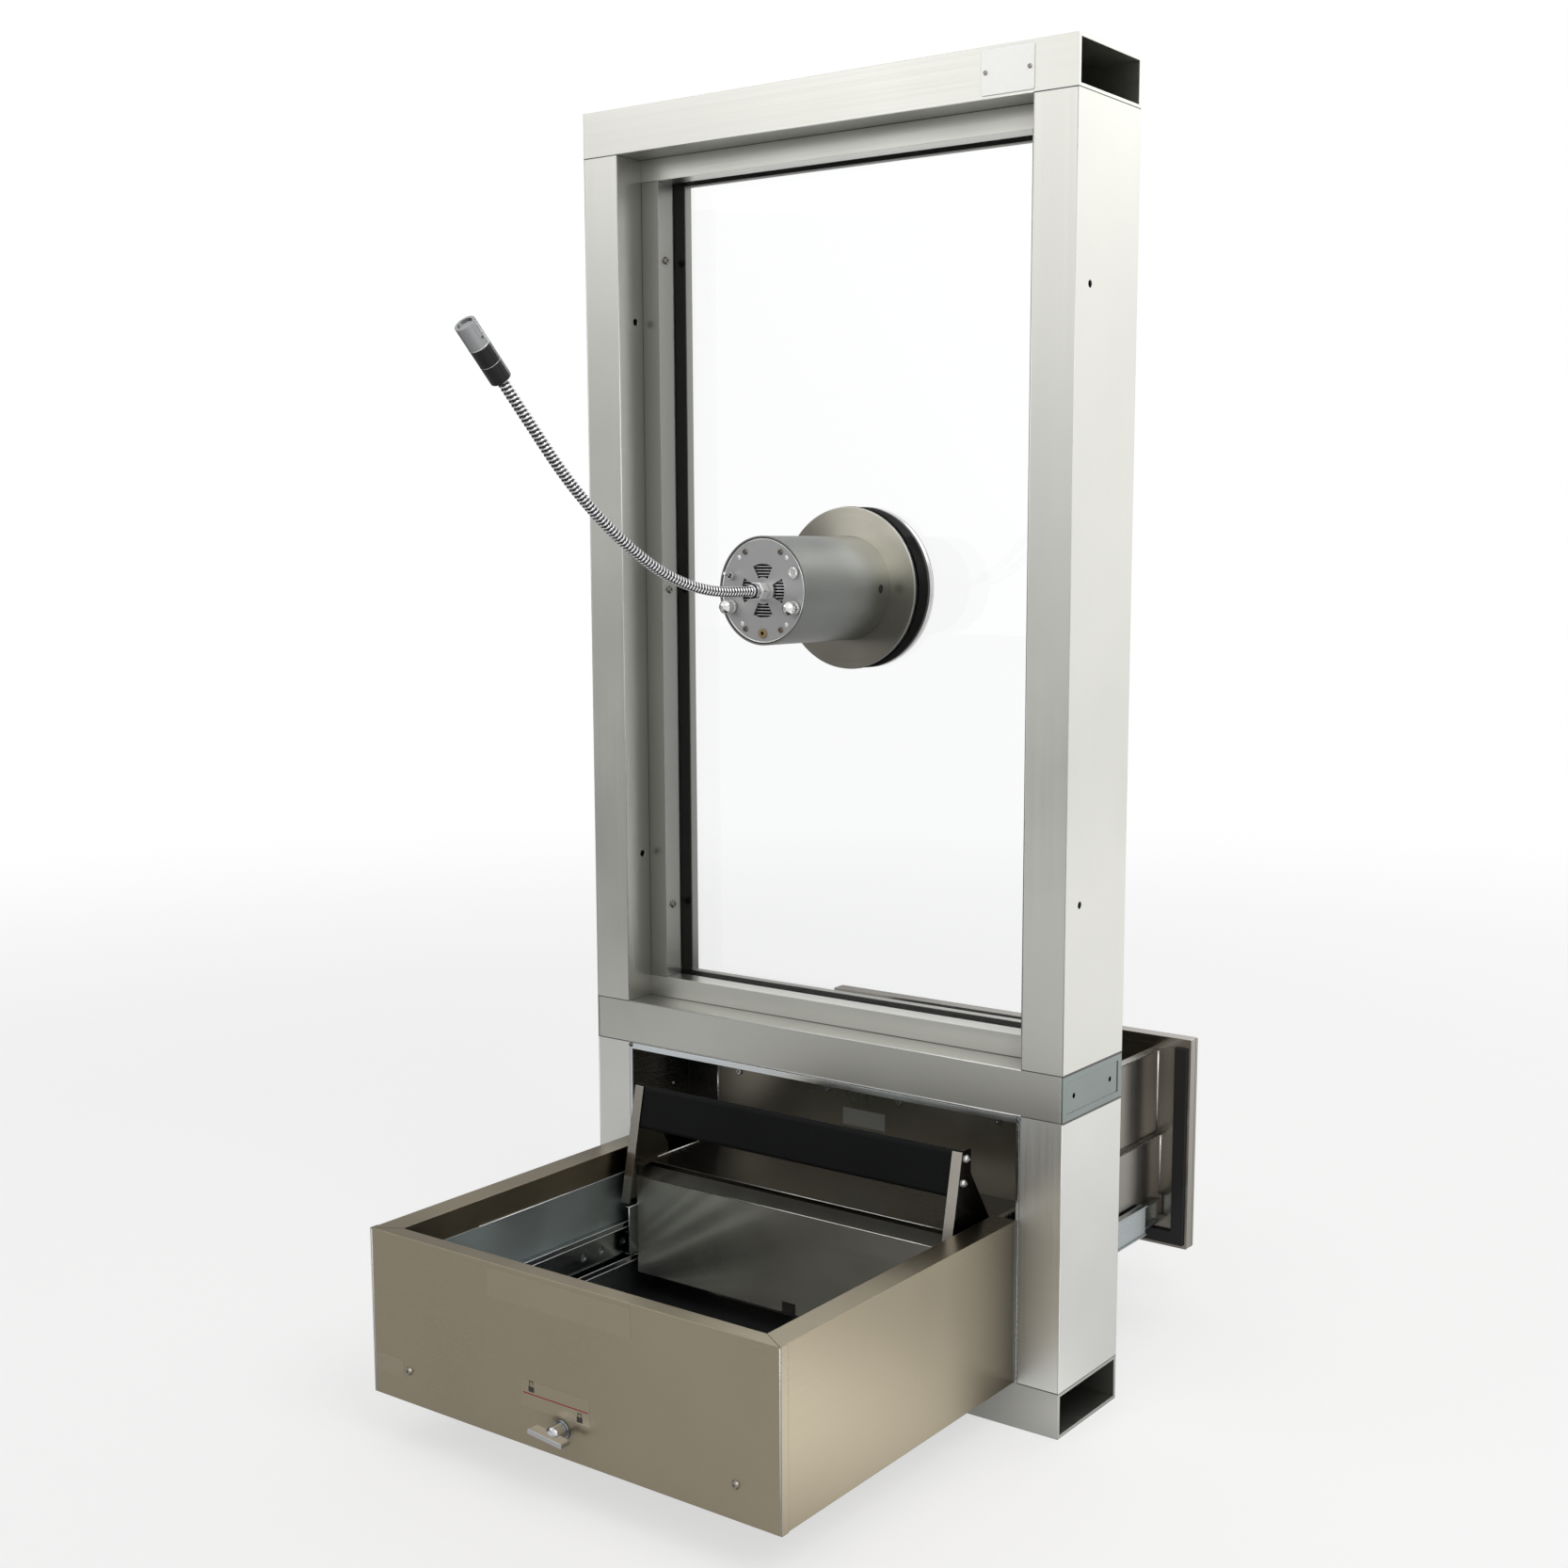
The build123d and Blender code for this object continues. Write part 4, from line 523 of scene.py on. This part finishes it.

# ---- drawer housing -----------------------------------------------------------------------------
# A folded box of brushed stainless steel whose grain runs round it level with the counter, with a
# black liner on its floor and two button screws through its front.
# The housing's colour is darkened in recesses and towards the frame along Y: painted shade.
housing_steel = metal_look("housing_brushed", (0.352, 0.306, 0.222), "xy", roughness=0.31, streak=0.03,
                           coarse=2.0, fine=1400.0, bump=0.002, cloud=0.05, edge=0.0009, recess=0.75,
                           recess_reach=0.07, buckle=0.0011, buckle_scale=3.0,
                           fade=(-0.19, -0.06, 0.40))
dress(housing_steel, "housing_shell")
dress(plain_look("floor_liner", (0.009, 0.009, 0.010), 0.45, grain=250.0), "floor_plate")

# The rim's mitred corner seams and the open edge of the front's return, as dark hairlines, and the
# front's folded corners as thin pale beads, a painted highlight.
dark_seam_and_shade = plain_look("seam_shadow", (0.02, 0.018, 0.016), 0.6)
housing_half, housing_front, housing_top, rim_side, rim_front = 238.1, -422.15, 204.0, 25.4, 16.0
mitre_half, mitre_sunk, mitre_proud = 0.35, 0.05, 0.06
bm = bmesh.new()
for hand in (-1, 1):
    corner = Vector((hand * housing_half, housing_front, housing_top))
    inside = Vector((hand * (housing_half - rim_side), housing_front + rim_front, housing_top))
    off = Vector((0.0, mitre_half, 0.0))
    ring = [bm.verts.new((at + Vector((0, 0, rise))) / 1000) for rise in (-mitre_sunk, mitre_proud)
            for at in (corner - off, corner + off, inside + off, inside - off)]
    bm.faces.new(ring[4:])
    for a in range(4):
        b = (a + 1) % 4
        bm.faces.new((ring[a], ring[b], ring[4 + b], ring[4 + a]))
made("rim_mitre_seams", bm, [dark_seam_and_shade], "window", "brushed_stainless_housing")
return_y, return_gap, return_half, return_low = housing_front + 9.0, 0.9, 0.25, 47.0
fold_x, fold_y, fold_low = housing_half - 0.4, housing_front + 0.35, 46.0
return_seams, folds = [], []
for hand in (-1, 1):
    side = hand * housing_half
    return_seams.append(((side - return_half, return_y, return_low),
                         (side + return_half, return_y + return_gap, housing_top - 0.5)))
    folds.append(((hand * fold_x, fold_y, fold_low), (hand * fold_x, fold_y, housing_top - 1.0)))
strips("front_return_seam", return_seams, dark_seam_and_shade, "window", "brushed_stainless_housing", soft=0.00005)
beads("front_corner_edges", folds, 0.75, edge_highlight, "window", "brushed_stainless_housing")

# Three bare clear films on the housing's front: below the rim, behind the lock's mark and beside the
# left screw.  Each is given by its left, low, right and high edges.
film, cn = blank_look("clear_film")
mottle = cn.noise(cn.add("ShaderNodeTexCoord").outputs["Object"], 30.0, 2.0)
film_tint = cn.shades(mottle, (0.352, 0.306, 0.226), (0.375, 0.327, 0.243))
cn.skin({"Base Color": film_tint, "Metallic": 1.0, "Roughness": 0.26})
screws_low, screws_high = extent("housing_screws")
screw_left, screw_height = screws_low.x, (screws_low.z + screws_high.z) / 2
film_front, film_back = housing_front - 0.09, housing_front + 0.03
films = [((left, film_front, low), (right, film_back, high)) for left, low, right, high in
         ((-88, 172.5, 81, 199.5), (-48, 81.5, 33, 106),
          (-236, screw_height - 8, screw_left - 3, screw_height + 9))]
strips("bare_notice_film", films, film, "window", "brushed_stainless_housing", soft=0.00005)

# The lock's mark: a red line, with an open padlock over one end and a closed one under the other.
mark_red = plain_look("mark_red", (0.42, 0.05, 0.045), 0.5, vary=0.1)
mark_black = plain_look("mark_black", (0.03, 0.03, 0.03), 0.5, vary=0.1)
mark_front, mark_back = housing_front - 0.13, housing_front + 0.03
red_line = [((-46.0, mark_front, 93.4), (31.0, mark_back, 94.6))]
strips("lock_mark", red_line, mark_red, "window", "brushed_stainless_housing", soft=0.00004)
padlocks = []
for middle, base, lift in ((-36.0, 96.0, 1.6), (21.0, 83.0, 0.0)):
    case, fixed_leg = (-3.4, 0.0, 3.4, 5.0), (-2.4, 5.0, -1.4, 8.0 + lift)
    free_leg, bow = (1.4, 5.0 + lift, 2.4, 8.0 + lift), (-2.4, 7.6 + lift, 2.4, 8.6 + lift)
    for left, low, right, high in (case, fixed_leg, free_leg, bow):
        padlocks.append(((middle + left, mark_front, base + low), (middle + right, mark_back, base + high)))
strips("lock_padlocks", padlocks, mark_black, "window", "brushed_stainless_housing", soft=0.00004)

# ---- drawer -------------------------------------------------------------------------------------
# The pan, deck, bulkhead and panel are smooth stainless sheet, spot-welded; the front wall is
# brushed brighter.  They mostly reflect each other and look dark, and the deck is given a far darker
# copy of the steel, a painted shade.
tray_steel = metal_look("tray_stainless", (0.33, 0.31, 0.275), "z", roughness=0.20, streak=0.03, cloud=0.06,
                        edge=0.0007, recess=0.55, recess_reach=0.08, buckle=0.0012, buckle_scale=5.0)
dress(tray_steel, "tray_pan", "customer_panel", "panel_backing", "handle_arm_left", "handle_arm_right")
shaded_deck_steel = metal_look("deck_stainless_shaded", (0.085, 0.078, 0.062), "x", roughness=0.24, streak=0.02,
                        cloud=0.08, bump=0.003, edge=0.0006, recess=0.6, recess_reach=0.12,
                        buckle=0.0010, buckle_scale=4.0)
dress(shaded_deck_steel, "tray_deck")
bulkhead_steel = metal_look("bulkhead_stainless", (0.36, 0.335, 0.275), "z", roughness=0.36, streak=0.03,
                            cloud=0.12, coarse=3.0, bump=0.001, recess=0.25, recess_reach=0.08,
                            buckle=0.0015, buckle_scale=6.0)
dress(bulkhead_steel, "tray_bulkhead")
# The front wall's upward faces are darkened to 0.16 of its colour: painted shade.
wall_steel = metal_look("front_wall_brushed", (0.64, 0.63, 0.565), "x", roughness=0.45, streak=0.03,
                        coarse=3.0, fine=1500.0, bump=0.003, edge=0.0009, recess=0.1, lid=0.16,
                        fan=(-0.30, 0.02, 3.2, 0.020, -0.17, 0.06))
dress(wall_steel, "tray_front_wall")

# Thin pale beads along the welded and folded edges of the drawer's pan, seen from the customer's side
# and the front: a painted highlight.
pan_edge_highlight = metal_look("weld_edge_highlight", (0.74, 0.73, 0.70), "x", roughness=0.24, cloud=0.05, recess=0.0)
upper_half, tray_half, deck_top, tray_top, cell_front, panel_face = 194.0, 199.0, 187.0, 282.0, 33.85, 321.3
rim_z, step_z, pan_start, panel_low_z, step_out = tray_top - 0.4, deck_top - 0.4, -62.0, 130.0, 0.2
pan_edges = []
for hand in (-1, 1):
    upper_x, lower_x, step_x = hand * upper_half, hand * tray_half, hand * (upper_half + step_out)
    pan_edges += [((upper_x, cell_front, rim_z), (upper_x, panel_face, rim_z)),
                  ((upper_x, panel_face, deck_top), (upper_x, panel_face, rim_z)),
                  ((step_x, cell_front, deck_top), (step_x, panel_face, deck_top)),
                  ((lower_x, panel_face, panel_low_z), (lower_x, panel_face, step_z)),
                  ((lower_x, pan_start, step_z), (lower_x, panel_face, step_z))]
beads("pan_edges", pan_edges, 1.0, pan_edge_highlight, "drawer", "dark_stainless_tray")
bulkhead_y, wall_y, bevel_low, bevel_y, bevel_half = 33.7, -96.2, 175.0, -78.9, 192.0
bulkhead_run = [((-upper_half, bulkhead_y, deck_top + 3), (-upper_half, bulkhead_y, tray_top - 1))]
beads("bulkhead_edge", bulkhead_run, 0.9, pan_edge_highlight, "drawer", "dark_stainless_tray")
wall_runs = [((1 - tray_half, wall_y, bevel_low), (tray_half - 1, wall_y, bevel_low)),
             ((-bevel_half, bevel_y, deck_top), (bevel_half, bevel_y, deck_top))]
beads("front_wall_edge", wall_runs, 0.55, pan_edge_highlight, "drawer", "bright_brushed_stainless")

# The dark line between the customer panel's sheet and its folded edge, on either side.
panel_low, panel_high = extent("customer_panel")
fold_near, fold_far, fold_in, fold_proud = panel_high.y - 5.2, panel_high.y - 4.4, 0.3, 0.05
panel_lines = [((left, fold_near, panel_low.z), (right, fold_far, panel_high.z)) for left, right in
               ((panel_low.x - fold_proud, panel_low.x + fold_in),
                (panel_high.x - fold_in, panel_high.x + fold_proud))]
strips("panel_edge_lines", panel_lines, dark_seam_and_shade, "drawer", "brushed_stainless_housing", soft=0.00005)

# A bare label on the bulkhead.
label_grey = plain_look("bare_label", (0.62, 0.62, 0.60), 0.4, metallic=0.6, vary=0.08)
label_span = [((-26, 33.55, 230), (27, 33.87, 248))]
strips("bulkhead_label", label_span, label_grey, "drawer", "dark_stainless_tray", soft=0.00006)

# ---- grip, gaskets and tapes --------------------------------------------------------------------
# Black parts: the pebbled grip sleeve, the sponge gasket on the panel, the glazing tapes and the
# intercom's gaskets.
grip_look = plain_look("pebbled_grip", (0.007, 0.0075, 0.008), 0.80, grain=900.0, bump=0.25, vary=0.15,
                       gloss=0.15)
dress(grip_look, "grip_cover")
rubber = plain_look("black_rubber", (0.010, 0.010, 0.011), 0.55)
dress(rubber, "glazing_tapes", "setting_blocks", "intercom_gaskets", "panel_gasket")
dress(metal_look("bar_steel", (0.35, 0.35, 0.35), "x"), "grip_core")

# ---- glass --------------------------------------------------------------------------------------
# Thick security glazing, polished and clear with a faint green edge, held between black tapes.
glass_look, gn = blank_look("security_glass")
ripple = gn.noise(gn.add("ShaderNodeTexCoord").outputs["Object"], 3.0, 1.0)
gn.skin({"Base Color": (0.985, 0.995, 0.99, 1), "Roughness": 0.0, "IOR": 1.5, "Transmission Weight": 1.0,
         "Normal": gn.bump(ripple, 0.00002)})
dress(glass_look, "glass_pane")

# ---- intercom -----------------------------------------------------------------------------------
# A brushed aluminium tube, its flange turned with rings round the axis.  The face plate is finely
# blasted, with a finned grille behind its windows.
axis_x, axis_z = 0.004, 0.7884


def turned_look(name, colour, roughness, ring=900.0, cloud=0.06, recess=0.3, edge=0.0006, sheen=None):
    """A metal turned on a lathe: rings about the intercom's axis, with slow clouding, and its colour darkened
    in recesses, a painted shade.

    sheen is a painted highlight: it brightens the colour of the side that faces (to_x, to_z) by gain, most
    at near in Y and not at all at far.
    """
    look, n = blank_look(name)
    place = n.add("ShaderNodeTexCoord").outputs["Object"]
    centred = n.add("ShaderNodeMapping", {"Vector": place, "Location": (-axis_x, 0, -axis_z)})
    flat = n.add("ShaderNodeMapping", {"Vector": centred.outputs[0], "Scale": (1, 0, 1)})
    radius = n.add("ShaderNodeVectorMath", {0: flat.outputs[0]}, operation="LENGTH").outputs["Value"]
    depth = n.parts(place)["Y"]
    ring_at = n.add("ShaderNodeCombineXYZ", {0: radius, 1: depth})
    rings = n.noise(ring_at.outputs[0], ring, 2.0)
    tint = n.mottled(n.noise(place, 14.0, 3.0), colour, cloud)
    # The colour is darkened where ambient occlusion finds nearby surfaces: painted shade in recesses.
    corners = n.add("ShaderNodeAmbientOcclusion", {"Distance": 0.03}, samples=6)
    painted_shading = n.spread(corners.outputs["AO"], 1 - recess, 1.0, 0.2, 0.9)
    # A painted highlight on the side that faces (to_x, to_z), strongest near in Y.
    if sheen:
        to_x, to_z, narrow, far, near, gain = sheen
        outward = n.add("ShaderNodeVectorMath", {0: flat.outputs[0]}, operation="NORMALIZE").outputs[0]
        facing = n.add("ShaderNodeVectorMath", {0: outward, 1: (to_x, 0, to_z)}, operation="DOT_PRODUCT")
        bright = n.spread(facing.outputs["Value"], 0.0, gain, narrow, 1.0, interpolation_type="SMOOTHSTEP")
        painted_highlight = n.maths("MULTIPLY", bright,
                        n.spread(depth, 0.0, 1.0, far, near, interpolation_type="SMOOTHSTEP"))
        painted_shading = n.maths("MULTIPLY", painted_shading, n.maths("ADD", painted_highlight, 1.0))
    tint = n.add("ShaderNodeVectorMath", {0: tint, "Scale": painted_shading}, operation="SCALE").outputs[0]
    rough = n.spread(rings, roughness - 0.05, roughness + 0.05)
    rounded = n.add("ShaderNodeBevel", {"Radius": edge}, samples=4).outputs[0]
    n.skin({"Base Color": tint, "Metallic": 1.0, "Roughness": rough,
            "Normal": n.bump(rings, 0.00001, rounded)})
    return look


# The tube is brightened on its upper right, most near the flange: a painted highlight.
tube_silver = turned_look("intercom_aluminium", (0.235, 0.24, 0.228), 0.46, recess=0.05,
                          sheen=(0.72, 0.69, 0.70, -0.085, -0.012, 1.3))
dress(tube_silver, "intercom_body")
dress(turned_look("outer_disc_aluminium", (0.50, 0.50, 0.49), 0.20, recess=0.1), "outer_disc")
dress(turned_look("face_aluminium", (0.46, 0.465, 0.46), 0.42, recess=0.5), "intercom_face")


def lathe(name, profile, looks, body, slot, origin=(axis_x, 0.0, axis_z), heading=(0, -1, 0), sides=96,
          look_at=None, smooth=True):
    """A piece turned about an axis: (distance along the heading, radius) stations, in millimetres."""
    bm = bmesh.new()
    turned = Vector(heading).to_track_quat("Z", "X").to_matrix()
    angles = [2 * pi * k / sides for k in range(sides)]
    rows = []
    for along_axis, radius in profile:
        ring = [Vector((radius * cos(angle), radius * sin(angle), along_axis)) for angle in angles]
        rows.append([bm.verts.new(Vector(origin) + turned @ at / 1000) for at in ring])
    for index, (a, b) in enumerate(zip(rows, rows[1:])):
        for k in range(sides):
            face = bm.faces.new((a[k], a[(k + 1) % sides], b[(k + 1) % sides], b[k]))
            face.material_index = look_at(index) if look_at else 0
    made(name, bm, looks, body, slot, smooth=smooth)


# The flange's brownish turned face, as a thin flat skin, its upper right brightened by a painted
# highlight.
glass_front, gasket_thick, flange_thick = 60.8 - half_depth, 2.5, 2.0
flange_y, flange_rim, tube_radius = glass_front - gasket_thick - flange_thick, 79.2, 50.8
flange_look = turned_look("flange_turned", (0.245, 0.235, 0.20), 0.30, ring=700.0, cloud=0.10, recess=0.0,
                          sheen=(0.50, 0.87, 0.25, -0.10, -0.02, 1.6))
flange_profile = [(-0.05, flange_rim), (0.12, flange_rim - 0.4), (0.15, 70.0), (0.15, tube_radius + 0.2),
                  (-0.02, tube_radius + 0.05)]
lathe("flange_skin", flange_profile, [flange_look], "window", "silver_intercom",
      origin=(axis_x, flange_y / 1000, axis_z), smooth=False)

# The tube's two small holes are each closed by a dark disc set just inside: painted shade.
hole_y = 40.5 - half_depth
for hole_name, hole_heading in (("side", (1, 0, 0)), ("lower", (0, 0, -1))):
    lathe(f"tube_hole_{hole_name}", [(49.2, 4.15), (49.9, 3.9), (49.9, 0.01)], [dark_seam_and_shade], "window",
          "black_rubber", origin=(axis_x, hole_y / 1000, axis_z), heading=hole_heading, sides=32)

# Dark rings round both edges of the customer's disc: painted shadow.
disc_low, disc_high = extent("outer_disc")
disc_near, disc_far, disc_rim = -disc_low.y, -disc_high.y, (disc_high.x - disc_low.x) / 2
near_line = [(disc_near - 0.5, disc_rim + 0.05), (disc_near - 0.1, disc_rim + 0.10),
             (disc_near + 0.05, disc_rim), (disc_near + 0.05, disc_rim - 0.7)]
far_line = [(disc_far + 0.9, disc_rim + 0.05), (disc_far + 0.5, disc_rim + 0.10),
            (disc_far + 0.1, disc_rim + 0.05)]
lathe("outer_disc_lines", near_line, [dark_seam_and_shade], "window", "silver_intercom")
lathe("outer_disc_back_line", far_line, [dark_seam_and_shade], "window", "silver_intercom")

# Two moulded ridges round the gasket between the flange and the glass.
gasket_ridge = plain_look("gasket_ridge", (0.016, 0.016, 0.018), 0.4)
ridge_foot, ridge_crest, ridge_half = 79.4, 79.75, 0.25
ridge_runs = []
for ridge in (2.1 - glass_front, 0.5 - glass_front):
    ridge_runs += [(ridge - ridge_half, ridge_foot), (ridge, ridge_crest), (ridge + ridge_half, ridge_foot)]
lathe("front_gasket_ridges", ridge_runs, [gasket_ridge], "window", "black_rubber")

# The face plate's bright turned rim, with a dark ring between it and the tube's mouth: painted shadow.
face_y = -half_depth - 80.2
on_face = (axis_x, face_y / 1000, axis_z)
rim_bright = turned_look("rim_bright", (0.72, 0.72, 0.71), 0.2, recess=0.0)
lathe("face_rim", [(-0.3, 48.4), (0.55, 48.3), (0.6, 47.6), (0.02, 47.2)], [rim_bright], "window",
      "silver_intercom", origin=on_face)
lathe("face_rim_shadow", [(-0.2, 48.95), (0.10, 48.95), (0.10, 48.45)], [dark_seam_and_shade], "window",
      "black_rubber", origin=on_face)

# The finned grille, and the speaker's dark paper cone behind it.
grille_metal = plain_look("grille_metal", (0.50, 0.50, 0.51), 0.25, metallic=1.0)
dress(grille_metal, "speaker_grille")
grille_y = extent("speaker_grille")[1].y
cone_black = plain_look("speaker_paper", (0.018, 0.018, 0.019), 0.7, bump=0.1)
lathe("speaker_cone", [(-2.0, 46.5), (-3.0, 42.0), (-12.0, 14.0), (-9.0, 10.0), (-7.5, 0.01)],
      [cone_black], "window", "black_plastic", origin=(axis_x, grille_y / 1000, axis_z))

# The small metal parts and screws, each in its own tone: chrome, brass, steel or bronze.  The frame,
# plate and housing screws are darkened: painted shade.
chrome = plain_look("bright_chrome", (0.50, 0.50, 0.51), 0.11, grain=600.0, bump=0.0, metallic=1.0,
                    vary=0.02, edge=0.0007)
dress(chrome, "toggle_lever", "toggle_bushing", "lock_lever")
socket_chrome = plain_look("socket_chrome", (0.86, 0.86, 0.85), 0.22, metallic=1.0, vary=0.02, bump=0.0,
                           edge=0.0009)
dress(socket_chrome, "mic_socket")
for finish, colour, roughness, vary, nodes in (
        ("jack_brass", (0.40, 0.30, 0.17), 0.28, 0.1, ["headset_jack"]),
        ("screw_steel", (0.62, 0.62, 0.62), 0.25, 0.08, ["drawer_screws"]),
        ("frame_screw_shade", (0.16, 0.15, 0.13), 0.3, 0.1, ["frame_screws"]),
        ("screw_shade", (0.30, 0.28, 0.25), 0.3, 0.1, ["plate_screws", "housing_screws"]),
        ("face_screw_bronze", (0.17, 0.145, 0.125), 0.3, 0.15, ["face_screws"]),
        ("plate_face", (0.78, 0.78, 0.76), 0.42, 0.02, ["name_plate"])):
    dress(plain_look(finish, colour, roughness, metallic=1.0, vary=vary), *nodes)

# Knurled knobs: many fine flutes on a turned body, a waist line and a coned nose.
knob_chrome = plain_look("knob_chrome", (0.66, 0.66, 0.65), 0.18, metallic=1.0, vary=0.03, bump=0.0,
                         edge=0.0003)


def knob(name, dx, dz, profile, flutes, flute_depth, fluted, body, node):
    """A turned knob whose stations in the fluted set have flutes round them; millimetres."""
    bm = bmesh.new()
    sides = flutes * 4
    rows = []
    for index, (out, radius) in enumerate(profile):
        row = []
        for k in range(sides):
            cut = flute_depth * (0.5 - 0.5 * cos(2 * pi * k / 4)) if index in fluted else 0.0
            turn_at = 2 * pi * k / sides
            row.append(bm.verts.new(((axis_x * 1000 + dx + (radius - cut) * cos(turn_at)) / 1000,
                                     (face_y - out) / 1000,
                                     (axis_z * 1000 + dz + (radius - cut) * sin(turn_at)) / 1000)))
        rows.append(row)
    for a, b in zip(rows, rows[1:]):
        for k in range(sides):
            bm.faces.new((a[k], a[(k + 1) % sides], b[(k + 1) % sides], b[k]))
    bm.faces.new(rows[-1])
    bm.faces.new(rows[0])
    made(name, bm, [knob_chrome], body, "bright_chrome", node)


volume_profile = [(0.3, 4.5), (0.35, 6.3), (0.7, 6.55), (3.4, 6.55), (3.6, 6.15), (3.9, 6.15), (4.1, 6.55),
                  (10.6, 6.55), (11.3, 6.2), (12.6, 5.3), (14.0, 4.2), (15.2, 2.9), (15.7, 1.6)]
tone_profile = [(0.3, 4.2), (0.4, 5.4), (3.6, 5.45), (4.2, 4.9), (4.2, 3.0), (3.7, 2.6)]
knob_x, volume_z, tone_z = 37.0, -15.5, 17.0
for hand, hand_name in ((-1, "left"), (1, "right")):
    knob(f"fluted_knob_{hand_name}", hand * knob_x, volume_z, volume_profile, 20, 0.45, (6, 7),
         f"knob_{hand_name}", f"volume_knob_{hand_name}")
knob("knurled_tone_knob", knob_x, tone_z, tone_profile, 24, 0.5, (1, 2, 3), "knob_tone", "tone_knob")

# Four pale blank discs on the face.
spot_pale = plain_look("spot_pale", (0.80, 0.80, 0.80), 0.5, metallic=1.0, vary=0.03)
for index, (dx, dz) in enumerate(((-28.0, 30.5), (27.5, 30.5), (-25.0, -31.0), (27.0, -31.0))):
    lathe(f"blank_spot_{index}", [(0.0, 2.2), (0.12, 2.0), (0.12, 0.01)], [spot_pale], "window",
          "silver_intercom", origin=(axis_x + dx / 1000, face_y / 1000, axis_z + dz / 1000), sides=24)

# ---- gooseneck microphone -----------------------------------------------------------------------
# A chromed spiral tube: a wire wound in a close helix, its ferrule in the socket, and at its far end a
# gloss black sleeve and a satin silver head.  The helix's gaps and the ferrule's grooves are coloured
# near black: painted shade.
socket_front, ferrule_length, start_straight, end_straight = face_y - 11.0, 7.5, 29.0, 73.0
neck_front = socket_front - 0.3 - ferrule_length
bends = ((250.0, 27.0), (450.0, 19.5))
neck_length = start_straight + sum(radians(angle) * radius for radius, angle in bends) + end_straight
crest, valley, turns, steps, sides = 5.0, 3.5, 94, 6, 24


def neck_at(distance):
    """(y, z, heading) of the gooseneck's centre line, in millimetres and radians above -Y."""
    y, z, rise = neck_front - min(distance, start_straight), axis_z * 1000, 0.0
    left = max(distance - start_straight, 0.0)
    for radius, angle in bends:
        swept = min(left, radians(angle) * radius) / radius
        y -= radius * (sin(rise + swept) - sin(rise))
        z += radius * (cos(rise) - cos(rise + swept))
        rise += swept
        left -= swept * radius
    return y - left * cos(rise), z + left * sin(rise), rise


neck_chrome = plain_look("neck_chrome", (0.72, 0.72, 0.74), 0.10, metallic=1.0, vary=0.02, bump=0.0,
                         edge=0.0001)
neck_gap_shade = plain_look("neck_gap_shade", (0.012, 0.012, 0.014), 0.45)
bm = bmesh.new()
wound = (0.0, 0.22, 0.72, 1.0, 0.72, 0.22)
gap_end, gap_start = 1.6, 4.3
rows = []
for station in range(turns * steps + 1):
    y, z, rise = neck_at(neck_length * station / (turns * steps))
    row = []
    for k in range(sides):
        phase = (station * sides + k * steps) % (steps * sides) / sides
        low, high = wound[int(phase) % steps], wound[(int(phase) + 1) % steps]
        radius = valley + (crest - valley) * (low + (high - low) * (phase % 1))
        side, up = radius * cos(2 * pi * k / sides), radius * sin(2 * pi * k / sides)
        at = (axis_x * 1000 + side, y + up * sin(rise), z + up * cos(rise))
        row.append(bm.verts.new([value / 1000 for value in at]))
    rows.append(row)
for station, (a, b) in enumerate(zip(rows, rows[1:])):
    for k in range(sides):
        face = bm.faces.new((a[k], a[(k + 1) % sides], b[(k + 1) % sides], b[k]))
        phase = ((station + 0.5) * sides + (k + 0.5) * steps) % (steps * sides) / sides
        face.material_index = 1 if phase < gap_end or phase > gap_start else 0
bm.faces.new(rows[0])
bm.faces.new(rows[-1])
made("spiral_neck", bm, [neck_chrome, neck_gap_shade], "microphone", "bright_chrome", "gooseneck", smooth=True)
ferrule = [(0.2, 4.6), (0.0, 5.6), (-1.6, 5.9), (-1.8, 5.2), (-2.6, 5.2), (-2.8, 7.1), (-5.0, 7.15),
           (-5.2, 6.6), (-5.7, 6.6), (-5.9, 7.15), (-7.4, 7.1), (-7.5, 3.0)]
lathe("neck_ferrule", ferrule, [chrome, neck_gap_shade], "microphone", "bright_chrome",
      origin=(axis_x, neck_front / 1000, axis_z), sides=48, look_at=lambda index: int(index in (3, 4, 8)))

# The gloss black sleeve and the satin head, with two fine chrome rings round them.
sleeve_gloss = plain_look("sleeve_gloss", (0.004, 0.004, 0.0045), 0.10, bump=0.0, vary=0.1, gloss=0.3)
dress(sleeve_gloss, "mic_sleeve")
head_silver = plain_look("head_silver", (0.30, 0.305, 0.31), 0.26, metallic=1.0, bump=0.0, vary=0.03,
                         edge=0.0003)
dress(head_silver, "mic_head")
end_y, end_z, end_rise = neck_at(neck_length)
end_heading = (0, -cos(end_rise), sin(end_rise))
end_at = (axis_x, end_y / 1000, end_z / 1000)
ring_foot = 8.95
for ring_name, start, end, rim, slot in (("sleeve_seam", 16.6, 17.1, 9.12, "black_plastic"),
                                         ("head_collar", 33.0, 34.1, 9.14, "bright_chrome")):
    ring = [(start, ring_foot), (start + 0.1, rim), (end - 0.1, rim), (end, ring_foot)]
    lathe(ring_name, ring, [chrome], "microphone", slot, origin=end_at, heading=end_heading, sides=48)
